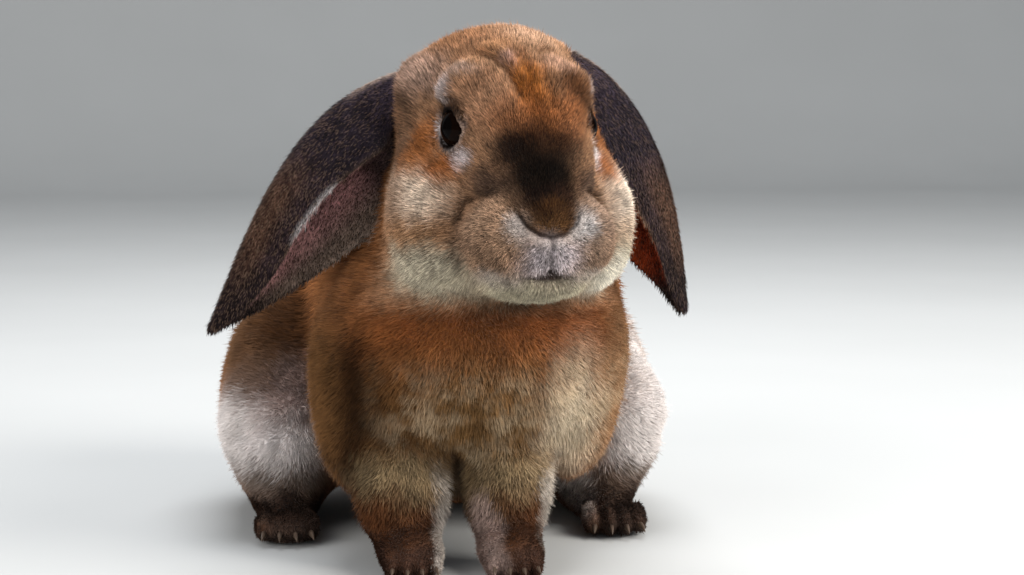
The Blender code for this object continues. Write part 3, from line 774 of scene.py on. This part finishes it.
def coat_colours(points, local, head, bare, edges, slits):
    body = painted(plain((140, 88, 50), len(points)), BODY_PATCHES, wobbled(points))
    face = painted(plain((170, 128, 96), len(points)), HEAD_PATCHES, wobbled(local, 1.3))
    angle, off_ball, _ = eye_facts(local)
    around = steps(-off_ball, -3.2, -1.2) * steps(-angle, -88, -72)
    upper = steps(local[:, 2], EYE_CENTRE[2] + 2, EYE_CENTRE[2] + 6.5)
    before = steps(-local[:, 1], 17, 22) * steps(local[:, 2], 21, 25)
    pad_crease_shade = along_folds(local, PAD_CREASES, 0.6, 3.4, 24) * steps(local[:, 2], -26, -12)
    lip = steps(-local[:, 2], 8.5, 11.5) * steps(local[:, 2], -23, -21)
    face = layered(
        face,
        ((232, 222, 222), 0.9 * around * (1 - upper) * (1 - 0.7 * before)),  # fur round the eye
        # dark brown over the upper lid, partly fur and partly painted shade under the brow
        ((74, 50, 34), 0.75 * around * upper),
        ((26, 18, 15), bare),  # the lids' bare edge
        # grey-brown along the whisker pads' creases, partly sooty fur and partly painted shade
        ((104, 82, 68), 0.4 * pad_crease_shade),
        # darker brown along the brows' creases, painted shade
        ((112, 72, 44), 0.5 * along_folds(local, (RIGHT_BROW, LEFT_BROW), 0.4, 2.4, 0)),
        ((212, 198, 190), 0.6 * edges),
        # painted shade in the nostrils, the cleft of the lip and the mouth's opening, fainter on the lip and
        # the left side
        ((46, 30, 24), slits * (0.85 - 0.5 * lip - 0.25 * steps(local[:, 0], 2, 8))))
    return mixed(body, face, head)


def coat_lies(points, local, normals, head, legs, feet, is_ear, place):
    """The way that the fur lies at each point, along the skin."""
    side = np.sign(points[:, 0]) * steps(np.abs(points[:, 0]), 20, 62)
    low = steps(-points[:, 2], -105, -75)
    way = np.stack((side * (0.25 + 0.5 * low), 0.72 - 0.25 * low, np.full(len(points), -0.66)), axis=1)
    breast = steps(-points[:, 1], 40, 80)
    way = mixed(way, np.stack((0.006 * points[:, 0], np.full(len(points), 0.35), np.full(len(points), -0.9)),
                              axis=1), breast)
    way = mixed(way, np.array((0.0, -0.10, -1.0)), legs)
    way = mixed(way, np.array((0.0, -0.95, -0.30)), feet)
    tail = steps(points[:, 1], 146, 156) * steps(-points[:, 2], -100, -90)
    way = mixed(way, np.array((0.0, 0.3, 0.95)), tail)
    from_lip = local - np.array((0.0, -60.0, -9.0))
    from_lip = from_lip / np.maximum(np.linalg.norm(from_lip, axis=1), 1e-6)[:, None]
    low = steps(-local[:, 2], -8, 12) * steps(np.abs(local[:, 0]), 8, 22)
    face_way = mixed(from_lip, from_lip + np.array((0.0, 0.25, -0.55)), low)
    way = mixed(way, face_way @ np.array(HEAD.to_3x3()).T, head)
    for index in np.nonzero(is_ear)[0]:
        number, along, across, _ = place[index]
        ear = EARS[int(number)]
        out = ear.point(min(along, 0.97), math.copysign(0.9, across)) - ear.point(min(along, 0.97), 0)
        way[index] = ear.along(along)[1] + out.normalized() * 0.3 * abs(across)
    return tangent(way, normals)


def coat_facts(skin, ears, facts):
    """What the coat is like at every point of the skin, as {name: values}."""
    count = len(skin.data.vertices)
    places, normals = np.empty(count * 3), np.empty(count * 3)
    skin.data.vertices.foreach_get("co", places)
    skin.data.vertices.foreach_get("normal", normals)
    points = (places.reshape(-1, 3) - np.array(SHIFT)) / MM
    normals = normals.reshape(-1, 3)
    local = in_head(points)
    is_ear, place = places_on_ears(points, ears, facts)
    head = share_of_head(local)
    muzzle = head * steps(-local[:, 1], 34, 48)
    legs = steps(-points[:, 2], -60, -36) * steps(-points[:, 1], 40, 60)
    feet = steps(-points[:, 2], -22, -12)
    haunch = steps(-points[:, 2], -90, -70) * steps(np.abs(points[:, 0]), 46, 60) * (1 - feet)
    front = steps(-points[:, 1], 30, 62) * (1 - head)
    angle, off_ball, off_eye = eye_facts(local)
    bare = steps(-angle, -55, -50) * steps(-off_ball, -3.0, -2.0) * head
    slits = along_folds(local, (*NOSTRILS, LIP_CLEFT, MOUTH_OPENING), 0.5, 1.3) * head
    edges = along_folds(local, NOSTRIL_RIMS, 0.8, 2.6) * head

    colour = coat_colours(points, local, head, bare, edges, slits)
    ear_colour, fringe = ear_colours(place)
    colour = np.where(is_ear[:, None], ear_colour, colour)
    way = coat_lies(points, local, normals, head, legs, feet, is_ear, place)

    def valued(body, breast, haunches, legs_and_feet, face, nose, ear):
        """One value for each point, from those of the regions."""
        value = mixed(mixed(np.full(count, float(body)), breast, front), haunches, haunch)
        value = mixed(mixed(value, legs_and_feet, np.maximum(legs, feet)), face, head)
        return np.where(is_ear, ear, mixed(value, nose, muzzle))

    depth = valued(BODY_COAT, BODY_COAT, 0.8 * BODY_COAT, LEG_COAT, HEAD_COAT, MUZZLE_COAT, EAR_COAT)
    depth = mixed(depth, FOOT_COAT, feet) + 0.35 * fringe * is_ear
    kept = np.maximum(edges, np.maximum(bare, slits))  # where the coat is kept short and in its place
    depth = depth * (1 - 0.75 * kept)
    rise = np.radians(valued(36, 57, 48, 50, 34, 42, 20))
    lie = way * np.cos(rise)[:, None] + normals * np.sin(rise)[:, None]
    by_eye = steps(-angle, -82, -66) * steps(-off_ball, -5, -3) * head
    lie = mixed(lie, off_eye @ np.array(HEAD.to_3x3()).T, by_eye)
    crowd = valued(0.54, 2.5, 1.6, 1.85, 4.6, 6.3, 2.3)
    crowd = crowd * (1 - 0.9 * bare) * (points[:, 2] > SOLE + 1.0)
    crowd = crowd * (1 - 0.3 * steps(local[:, 1], -4, 8) * head)
    wide = valued(0.58, 0.28, 0.36, 0.29, 0.20, 0.16, 0.25)
    grizzle = front * steps(-points[:, 2], -96, -76) * steps(points[:, 2], 36, 52)
    grizzle = grizzle * steps(points[:, 0], -50, -25)
    dark = steps(-(colour @ np.array((0.3, 0.6, 0.1))), -0.08, -0.03) * head
    ticks = np.where(is_ear, -0.75, mixed(valued(0.2, 0.1, 0, 0.1, 0.45, 0.5, 0), -0.12, dark))
    vary = valued(0.55, 0.42, 0.26, 0.7, 1.7, 2.15, 2.3) * (1 - 0.4 * steps(-local[:, 2], 18, 30) * head)
    stray = valued(4.0, 2.6, 3.2, 2.0, 1.7, 1.4, 0.2) * (1 - 0.85 * kept)
    return {"coat": colour, "vary": vary, "stray": stray * MM, "lie": lie, "crowd": crowd * 1e6,
            "hair": 0.95 * depth / np.sin(rise) * MM, "wide": wide * MM, "grizzle": grizzle, "ticks": ticks,
            "region": region_of(points, local, head, place[:, 0], is_ear)}


REGIONS = ("face_right", "face_left", "crown", "ear_right", "ear_left", "breast_right", "breast_left",
           "back", "flank_right", "flank_left", "haunch_right", "haunch_left")


def region_of(points, local, head, ear_number, is_ear):
    """The number of the coat piece that each point belongs to; a later rule wins over an earlier one."""
    x, y, z = points.T
    haunch = (np.abs(x) > 52) & (z < 88)
    breast, face = y < -46, (head > 0.5) & (local[:, 1] < 2)
    rules = (
        ("flank_right", x <= 0), ("flank_left", x > 0), ("haunch_right", haunch & (x < 0)),
        ("haunch_left", haunch & (x > 0)), ("back", z > 128), ("breast_right", breast & (x <= -2)),
        ("breast_left", breast & (x > -2)), ("crown", head > 0.5), ("face_right", face & (local[:, 0] <= 0)),
        ("face_left", face & (local[:, 0] > 0)), ("ear_right", is_ear & (ear_number < 0.5)),
        ("ear_left", is_ear & (ear_number > 0.5)))
    region = np.zeros(len(points), dtype=int)
    for name, where in rules:
        region[where] = REGIONS.index(name)
    return region


def store(mesh, name, values, kind):
    """Keep one value per point of a mesh; kind is FLOAT, FLOAT_VECTOR or FLOAT_COLOR."""
    kept = mesh.attributes.new(name, kind, "POINT")
    if kind == "FLOAT_COLOR":
        values = np.concatenate((values, np.ones((len(values), 1))), axis=1)
    field = {"FLOAT": "value", "FLOAT_VECTOR": "vector", "FLOAT_COLOR": "color"}[kind]
    kept.data.foreach_set(field, np.ascontiguousarray(values, dtype=np.float32).ravel())


# ------------------------------------------------------------------ shader maths and nodes


def operator(operation, reflected=False):
    """A way to write a Math node as a sign between two values."""
    def join(self, other):
        pair = (other, self) if reflected else (self, other)
        return self.maker.node("ShaderNodeMath", {"operation": operation}, pair)
    return join


class Value:
    """A value in a tree of nodes: the signs + - * / ** on it add its Math nodes."""

    def __init__(self, maker, socket):
        self.maker = maker
        self.socket = socket

    __add__ = __radd__ = operator("ADD")
    __mul__ = __rmul__ = operator("MULTIPLY")
    __sub__, __rsub__ = operator("SUBTRACT"), operator("SUBTRACT", reflected=True)
    __truediv__, __rtruediv__ = operator("DIVIDE"), operator("DIVIDE", reflected=True)
    __pow__, __rpow__ = operator("POWER"), operator("POWER", reflected=True)


class Maker:
    """A tree of nodes that is being made."""

    def __init__(self, tree):
        self.tree = tree

    def node(self, kind, settings, values=(), out=0):
        """Add a node: its settings first, then its sockets' values or links, by place or by name."""
        made = self.tree.nodes.new(kind)
        for setting, value in settings.items():
            setattr(made, setting, value)
        for socket, value in values.items() if isinstance(values, dict) else enumerate(values):
            if isinstance(value, Value):
                self.tree.links.new(value.socket, made.inputs[socket])
            else:
                made.inputs[socket].default_value = value
        return Value(self, made.outputs[out]) if made.outputs else made


class Surface(Maker):
    """A material; fixed are its shader's own values."""

    def __init__(self, name, fixed):
        self.material = bpy.data.materials.new(name)
        self.material.use_nodes = True
        super().__init__(self.material.node_tree)
        self.shader = self.tree.nodes["Principled BSDF"]
        for socket, value in fixed.items():
            self.shader.inputs[socket].default_value = value

    def mix(self, factor, one, other, blend="MIX"):
        """Mix two colours; each may be a colour or a link."""
        one, other = [(*c, 1) if isinstance(c, (tuple, list, np.ndarray)) else c for c in (one, other)]
        return self.node("ShaderNodeMix", {"data_type": "RGBA", "blend_type": blend},
                         {0: factor, 6: one, 7: other}, 2)

    def grey(self, value):
        """A value as a grey colour."""
        return self.node("ShaderNodeCombineColor", {}, (value, value, value))

    def place(self):
        return self.node("ShaderNodeTexCoord", {}, (), "Object")

    def noise(self, place, scale, detail=2.0, rough=0.5):
        return self.node("ShaderNodeTexNoise", {},
                         {"Vector": place, "Scale": scale, "Detail": detail, "Roughness": rough}, "Fac")

    def attribute(self, name, out="Fac"):
        return self.node("ShaderNodeAttribute", {"attribute_name": name}, (), out)

    def between(self, value, low, high):
        return self.node("ShaderNodeMapRange", {"interpolation_type": "SMOOTHSTEP"},
                         {"Value": value, "From Min": low, "From Max": high})

    def feed(self, socket, value):
        self.tree.links.new(value.socket, self.shader.inputs[socket])


def marked_colour(surface):
    """The fur's colour with its mottling and dark ticking, the same on skin and coat."""
    place = surface.place()
    colour = surface.attribute("coat", "Color")
    mottle = surface.noise(place, 125.0, 5.0, 0.65)
    tick = surface.noise(place, 720.0, 3.0, 0.65)
    vary = surface.attribute("vary")
    cloudy = 0.56 * surface.between(vary, 0.05, 0.45)
    strength = 0.9 + cloudy * (surface.between(mottle, 0.30, 0.70) - 0.5) + 0.85 * (tick - 0.5) * vary
    darker = surface.mix(1.0, colour, surface.grey(strength), "MULTIPLY")
    clump = surface.noise(place, 55.0, 4.0, 0.7)
    pale = surface.attribute("grizzle") * surface.between(clump, 0.42, 0.68) * 0.5
    return surface.mix(pale, darker, tuple(linear((196, 176, 146))))


def coat_material():
    surface = Surface("plush_coat", {"Roughness": 0.8, "Specular IOR Level": 0.08, "Sheen Weight": 0.05,
                                     "Sheen Roughness": 0.5})
    colour = marked_colour(surface)
    shade, tip = surface.attribute("shade"), surface.attribute("tip")
    vary = surface.attribute("vary")
    uneven = 0.72 * surface.between(vary, -0.2, 0.45)
    strength = (0.98 + uneven * (shade - 0.5)) * (1.12 - 0.44 * vary * (1 - tip))
    colour = surface.mix(1.0, colour, surface.grey(strength), "MULTIPLY")
    ticks = surface.attribute("ticks")
    ticked = surface.between(surface.attribute("second"), 0.62, 0.72) * surface.between(tip, 0.1, 0.45)
    colour = surface.mix(ticked * ticks * 0.8, colour, tuple(linear((62, 44, 34))))
    colour = surface.mix(ticked * (0 - ticks) * 0.42, colour, tuple(linear((140, 112, 92))))
    surface.feed("Base Color", colour)
    surface.feed("Roughness", 0.66 + 0.2 * shade)
    return surface.material


def skin_material():
    surface = Surface("short_undercoat", {"Roughness": 0.85, "Specular IOR Level": 0.1})
    colour = marked_colour(surface)
    depth = 0.9 - 0.3 * surface.between(surface.attribute("vary"), 0.2, 0.8)
    surface.feed("Base Color", surface.mix(1.0, colour, surface.grey(depth), "MULTIPLY"))
    place = surface.place()
    height = surface.noise(place, 900.0, 3.0, 0.6) + 0.6 * surface.noise(place, 2400.0, 2.0, 0.5)
    bump = surface.node("ShaderNodeBump", {}, {"Strength": 0.5, "Distance": 0.0006, "Height": height})
    surface.feed("Normal", bump)
    return surface.material


# ------------------------------------------------------------------ the tufts


class Growth(Maker):
    """A Geometry Nodes tree, with named inputs."""

    def __init__(self, name):
        super().__init__(bpy.data.node_groups.new(name, "GeometryNodeTree"))
        self.tree.interface.new_socket("Geometry", in_out="OUTPUT", socket_type="NodeSocketGeometry")
        self.keys = {}

    def inputs(self, **kinds):
        for name, kind in kinds.items():
            made = self.tree.interface.new_socket(name, in_out="INPUT", socket_type="NodeSocket" + kind)
            self.keys[name] = made.identifier
        source = self.tree.nodes.new("NodeGroupInput")
        return [Value(self, source.outputs[name]) for name in kinds]

    def other_output(self, value, name):
        """Another output of the node that a value comes from."""
        return Value(self, value.socket.node.outputs[name])

    def named(self, name, kind="FLOAT"):
        return self.node("GeometryNodeInputNamedAttribute", {"data_type": kind}, {"Name": name})

    def keep(self, geometry, name, value, kind="FLOAT", domain="POINT"):
        return self.node("GeometryNodeStoreNamedAttribute", {"data_type": kind, "domain": domain},
                         {"Geometry": geometry, "Name": name, "Value": value})

    def scaled(self, vector, factor):
        return self.node("ShaderNodeVectorMath", {"operation": "SCALE"}, {0: vector, "Scale": factor})

    def added(self, one, other):
        return self.node("ShaderNodeVectorMath", {"operation": "ADD"}, (one, other))

    def random(self, low, high, seed):
        """A random number for each point."""
        return self.node("FunctionNodeRandomValue", {"data_type": "FLOAT"},
                         {2: low, 3: high, "Seed": seed}, 1)

    def any_way(self, seed):
        """A random vector for each point, up to 1 along each axis."""
        return self.node("FunctionNodeRandomValue", {"data_type": "FLOAT_VECTOR"},
                         {0: (-1.0,) * 3, 1: (1.0,) * 3, "Seed": seed}, 0)


GUARD_SHARE, GUARD_EXTRA = 0.06, 0.5  # how many tufts are long guard hairs, and by how much of a tuft
SWIRL_SCALE = 130.0  # of the noise that clumps the tufts
BAKE_PATCH = 0.003  # width of a tuft's patch on the unwrap
SOFTNESS = 0.6  # how much a tuft is lit as the skin under it is
VECTOR = "FLOAT_VECTOR"


def tuft_tree():
    """Tufts of fur over a skin whose points say how the fur lies, how long, wide and close it grows."""
    tree = Growth("tufts_of_fur")
    skin, flatness, unrest, clumping, patch, seed, material = tree.inputs(
        Skin="Geometry", Flatness="Float", Unrest="Float", Clumping="Float", Patch="Float", Seed="Int",
        Material="Material")
    place = tree.node("GeometryNodeInputPosition", {})
    spread = tree.node("GeometryNodeDistributePointsOnFaces", {"distribute_method": "RANDOM"},
                       {"Mesh": skin, "Density": tree.named("crowd"), "Seed": seed})
    normal = tree.other_output(spread, "Normal")
    astray = tree.scaled(tree.any_way(41), tree.named("stray"))
    coat = tree.node("GeometryNodeSampleNearestSurface", {"data_type": "FLOAT_COLOR"},
                     {"Mesh": skin, "Value": tree.named("coat", "FLOAT_COLOR"),
                      "Sample Position": tree.added(place, astray)})
    points = tree.keep(spread, "root", tree.named("OFBake", VECTOR), VECTOR)
    points = tree.keep(points, "over", normal, VECTOR)
    points = tree.keep(points, "shade", tree.random(-0.5, 0.5, 11) * tree.named("vary") + 0.5)
    points = tree.keep(points, "second", tree.random(0.0, 1.0, 17))
    points = tree.keep(points, "coat", coat, "FLOAT_COLOR")

    noise = {"Vector": place, "Scale": SWIRL_SCALE, "Detail": 1.0}
    swirl = tree.added(tree.node("ShaderNodeTexNoise", {}, noise, "Color"), (-0.5,) * 3)
    swirl = tree.scaled(swirl, clumping)
    lie = tree.added(tree.added(tree.named("lie", VECTOR), swirl), tree.scaled(tree.any_way(23), unrest))
    turn = tree.node("FunctionNodeAxesToRotation", {"primary_axis": "Z", "secondary_axis": "Y"},
                     {"Primary Axis": lie, "Secondary Axis": normal})
    width = tree.named("wide") * tree.random(0.7, 1.3, 31)
    guard = tree.node("ShaderNodeMath", {"operation": "GREATER_THAN"},
                      (tree.random(0.0, 1.0, 43), 1 - GUARD_SHARE))
    length = tree.named("hair") * (tree.random(0.62, 1.06, 37) + guard * GUARD_EXTRA)
    size = tree.node("ShaderNodeCombineXYZ", {}, (width, width * flatness, length))

    cone = tree.node("GeometryNodeMeshCone", {"fill_type": "NGON"},
                     {"Vertices": 3, "Side Segments": 1, "Radius Top": 0.0, "Radius Bottom": 1.0,
                      "Depth": 1.0})
    tuft = tree.keep(cone, "own", tree.other_output(cone, "UV Map"), VECTOR, "CORNER")
    tuft = tree.keep(tuft, "tip", tree.node("ShaderNodeSeparateXYZ", {}, (place,), 2))
    grown = tree.node("GeometryNodeInstanceOnPoints", {},
                      {"Points": points, "Instance": tuft, "Rotation": turn, "Scale": size})
    real = tree.node("GeometryNodeRealizeInstances", {}, {"Geometry": grown})
    spot = tree.added(tree.named("root", VECTOR), tree.scaled(tree.named("own", VECTOR), patch))
    real = tree.keep(real, "OFBake", spot, "FLOAT2", "CORNER")
    bent = tree.added(tree.scaled(tree.node("GeometryNodeInputNormal", {}), 1 - SOFTNESS),
                      tree.scaled(tree.named("over", VECTOR), SOFTNESS))
    real = tree.node("GeometryNodeSetMeshNormal", {"mode": "FREE", "domain": "POINT"},
                     {"Mesh": real, "Custom Normal": bent})
    for name in ("own", "root", "over", "lie", "hair", "crowd", "wide", "stray", "region", "UVMap"):
        real = tree.node("GeometryNodeRemoveAttribute", {}, {"Geometry": real, "Name": name})
    real = tree.node("GeometryNodeSetMaterial", {}, {"Geometry": real, "Material": material})
    tree.node("NodeGroupOutput", {}, (real,))
    return tree


def only_region(skin, number):
    """A copy of the skin's faces in one region."""
    mesh = skin.data.copy()
    part = bmesh.new()
    part.from_mesh(mesh)
    layer = part.verts.layers.float["region"]
    far = [face for face in part.faces if round(face.verts[0][layer]) != number]
    bmesh.ops.delete(part, geom=far, context="FACES")
    part.to_mesh(mesh)
    part.free()
    made = bpy.data.objects.new("coat_" + REGIONS[number], mesh)
    bpy.context.scene.collection.objects.link(made)
    return made


def grow_coat(skin, material):
    """One coat piece on each region of the skin."""
    tree = tuft_tree()
    for number, name in enumerate(REGIONS):
        piece = only_region(skin, number)
        modifier = piece.modifiers.new("tufts", "NODES")
        modifier.node_group = tree.tree
        settings = {"Flatness": 0.45, "Unrest": 0.26, "Clumping": 0.6, "Patch": BAKE_PATCH,
                    "Seed": 7 + number, "Material": material}
        for key, value in settings.items():
            modifier[tree.keys[key]] = value
        apply_modifiers(piece)
        piece.name = "coat_" + name
        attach(piece, "root")


def unwrap(made):
    """An unwrap of the mesh's own shape, kept as OFBake."""
    made.data.uv_layers.new(name="OFBake")
    bpy.context.view_layer.objects.active = made
    for other in bpy.context.selected_objects:
        other.select_set(False)
    made.select_set(True)
    bpy.ops.object.mode_set(mode="EDIT")
    bpy.ops.mesh.select_all(action="SELECT")
    bpy.ops.uv.smart_project(angle_limit=math.radians(66), island_margin=0.002)
    bpy.ops.object.mode_set(mode="OBJECT")


# ------------------------------------------------------------------ eyes and claws


def make_eye(side, sign, material):
    """An eyeball with its clear bulge, turned the way that the eye looks."""
    rings, sides = 40, 56
    axis = HEAD.to_3x3() @ eye_axis(sign)
    centre = HEAD @ Vector(eye_centre(sign))
    across = axis.orthogonal().normalized()
    upward = axis.cross(across)
    points, angles = [], []
    for i in range(rings + 1):
        angle = math.pi * i / rings
        bulge = EYE_BULGE * max(1 - (angle / math.radians(BULGE_ANGLE)) ** 2, 0) ** 1.5
        radius = EYE_RADIUS - 0.1 + bulge
        for j in range(1 if i in (0, rings) else sides):
            turn = 2 * math.pi * j / sides
            flat = across * math.cos(turn) + upward * math.sin(turn)
            points.append(centre + (axis * math.cos(angle) + flat * math.sin(angle)) * radius)
            angles.append(math.degrees(angle))
    faces = []
    last = len(points) - 1
    for j in range(sides):
        k = (j + 1) % sides
        faces.append((0, 1 + j, 1 + k))
        for i in range(rings - 2):
            start = 1 + i * sides
            faces.append((start + j, start + sides + j, start + sides + k, start + k))
        start = 1 + (rings - 2) * sides
        faces.append((start + j, last, start + k))
    made = add_mesh("eyeball_" + side, points, faces)
    turn_outwards(made)
    made.data.shade_smooth()
    store(made.data, "angle", np.array(angles), "FLOAT")
    made.data.materials.append(material)
    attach(made, "root")
    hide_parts("eye_" + side)


def eye_material():
    surface = Surface("wet_dark_eye", {"Roughness": 0.13, "Specular IOR Level": 0.03})
    angle = surface.attribute("angle")
    streaks = surface.noise(surface.place(), 900.0, 2.0, 0.5)
    iris = surface.mix(streaks, (0.002, 0.001, 0.0008), (0.006, 0.0025, 0.0014))
    pupil = surface.between(angle + 3 * (streaks - 0.5), 27, 31)
    colour = surface.mix(pupil, (0.002, 0.0015, 0.0015), iris)
    white = surface.between(angle, 50, 56)
    surface.feed("Base Color", surface.mix(white, colour, (0.010, 0.006, 0.005)))
    return surface.material


def claw_material():
    surface = Surface("claw_horn", {"Roughness": 0.32, "Specular IOR Level": 0.5})
    grain = surface.noise(surface.place(), 500.0, 3.0, 0.6)
    surface.feed("Base Color", surface.mix(grain, (0.035, 0.022, 0.017), (0.12, 0.085, 0.06)))
    bump = surface.node("ShaderNodeBump", {}, {"Strength": 0.3, "Distance": 0.0002, "Height": grain})
    surface.feed("Normal", bump)
    return surface.material


def claw_mesh(root, size, lean, sides=14, rings=9):
    """(points, faces) of one bent claw."""
    length, thick = size
    points = []
    for i in range(rings):
        share = i / rings
        centre = Vector(root) + Vector((lean * share * length, -length * share, -0.32 * length * share**2))
        for j in range(sides):
            angle = 2 * math.pi * j / sides
            radius = thick * (1 - share**1.6)
            points.append(centre + Vector((0.75 * radius * math.cos(angle), 0, radius * math.sin(angle))))
    points.append(Vector(root) + Vector((lean * length, -length, -0.32 * length)))
    faces = [tuple(range(sides))]
    for i in range(rings - 1):
        for j in range(sides):
            k = (j + 1) % sides
            faces.append((i * sides + k, i * sides + j, (i + 1) * sides + j, (i + 1) * sides + k))
    last = (rings - 1) * sides
    for j in range(sides):
        faces.append((last + (j + 1) % sides, last + j, rings * sides))
    return points, faces


def make_claws(material):
    feet = [("forepaw_" + side, (x, y - FORE_TOES_AHEAD), FORE_SPREAD, FORE_TOE_RADII, FORE_CLAW)
            for side, (x, y) in FOREPAWS.items()]
    x, y = HIND_TOES
    feet += [("hind_foot_" + side, (sign * x + HIPS_SHIFT, y), HIND_SPREAD, HIND_TOE_RADII, HIND_CLAW)
             for side, sign in SIDES]
    for foot, (x, y), spread, radii, size in feet:
        points, faces = [], []
        for across, back in TOE_ROW:
            root = (x + spread * across, y + spread * back - radii[1] + 3.5, 5.5)
            own_points, own_faces = claw_mesh(root, size, 0.12 * across)
            faces += [tuple(len(points) + corner for corner in face) for face in own_faces]
            points += own_points
        made = add_mesh("claws_" + foot, points, faces)
        turn_outwards(made)
        made.data.shade_smooth()
        made.data.materials.append(material)
        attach(made, "root")
        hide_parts(*["claw_%s_%d" % (foot, number) for number in (1, 2, 3, 4)])


# ------------------------------------------------------------------ the room


def make_floor():
    """A pale floor that curves up into a backdrop."""
    profile = [(-3.0, 0.0), (2.2, 0.0)]
    for step in range(1, 13):
        angle = math.radians(7.5 * step)
        profile.append((2.2 + 0.8 * math.sin(angle), 0.8 * (1 - math.cos(angle))))
    profile.append((3.0, 4.0))
    points = [(x, y, z) for y, z in profile for x in (-4.0, 4.0)]
    faces = [(2 * i, 2 * i + 1, 2 * i + 3, 2 * i + 2) for i in range(len(profile) - 1)]
    mesh = bpy.data.meshes.new("floor")
    mesh.from_pydata(points, [], faces)
    mesh.shade_smooth()
    floor = bpy.data.objects.new("floor", mesh)
    bpy.context.scene.collection.objects.link(floor)
    surface = Surface("pale_floor", {"Roughness": 0.8, "Specular IOR Level": 0.2})
    grain = surface.noise(surface.place(), 6.0, 2.0, 0.5)
    surface.feed("Base Color", surface.mix(grain, (0.42, 0.42, 0.41), (0.45, 0.45, 0.44)))
    mesh.materials.append(surface.material)


def add_light(name, energy, size, place, colour, mirrored):
    """A soft square lamp that faces the rabbit's middle; only a mirrored one shows in the eyes."""
    lamp = bpy.data.lights.new(name, "AREA")
    lamp.energy = energy
    lamp.size = size
    lamp.color = colour
    made = bpy.data.objects.new(name, lamp)
    made.location = place
    made.visible_glossy = mirrored
    made.rotation_mode = "QUATERNION"
    made.rotation_quaternion = (Vector(place) - Vector((0, 0, 0.12))).to_track_quat("Z", "Y")
    bpy.context.scene.collection.objects.link(made)


def make_lights():
    world = bpy.data.worlds.new("soft_room")
    world.use_nodes = True
    world.node_tree.nodes["Background"].inputs["Color"].default_value = (0.86, 0.92, 1.0, 1)
    world.node_tree.nodes["Background"].inputs["Strength"].default_value = 0.6
    bpy.context.scene.world = world
    world.cycles_visibility.glossy = False
    add_light("key", 42.0, 1.1, (1.25, -0.75, 1.0), (1.0, 0.97, 0.92), True)
    add_light("top", 28.0, 1.0, (0.1, 0.45, 1.4), (0.93, 0.96, 1.0), False)
    add_light("fill", 25.0, 1.4, (-1.3, -1.1, 0.8), (1.0, 0.98, 0.95), False)


CAMERA_TURN = -7.0  # degrees round the rabbit
CAMERA_HEIGHT = 0.220
CAMERA_AWAY = 1.0  # from the middle of the head
CAMERA_ASIDE = 0.0016
FOCAL = 2.44140625  # focal length over the sensor's width
DOWNWARD = 0.1046  # slope at which the camera looks down


def make_camera():
    turn = math.radians(CAMERA_TURN)
    forward = Vector((-math.sin(turn), math.cos(turn), 0))
    aside = Vector((math.cos(turn), math.sin(turn), 0))
    camera = bpy.data.cameras.new("camera")
    camera.sensor_width = 36
    camera.lens = FOCAL * camera.sensor_width
    made = bpy.data.objects.new("camera", camera)
    head = Vector(HEAD_CENTRE) * MM + SHIFT
    made.location = Vector((head.x, head.y, 0)) - forward * CAMERA_AWAY + aside * CAMERA_ASIDE
    made.location.z = CAMERA_HEIGHT
    made.rotation_mode = "QUATERNION"
    made.rotation_quaternion = Vector((forward.x, forward.y, -DOWNWARD)).to_track_quat("-Z", "Y")
    bpy.context.scene.collection.objects.link(made)
    bpy.context.scene.camera = made


FLESH = ["head", "neck", "trunk", "tail"]
FLESH += [part + side for part in ("foreleg_", "forepaw_", "thigh_", "hind_foot_", "ear_")
          for side in ("left", "right")]


def main():
    skin, ears, facts = make_skin()
    for name, values in coat_facts(skin, ears, facts).items():
        kind = {"coat": "FLOAT_COLOR", "lie": "FLOAT_VECTOR"}.get(name, "FLOAT")
        store(skin.data, name, values, kind)
    unwrap(skin)
    skin.data.shade_smooth()
    skin.data.materials.clear()
    skin.data.materials.append(skin_material())
    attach(skin, "root")
    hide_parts(*FLESH)
    grow_coat(skin, coat_material())
    horn, wet = claw_material(), eye_material()
    for side, sign in SIDES:
        make_eye(side, sign, wet)
    make_claws(horn)
    make_floor()
    make_lights()
    make_camera()
    bpy.context.scene.view_settings.view_transform = "Standard"


CAD_BOX = [[float(value) for value in corner] for corner in CAD_BOX]
main()
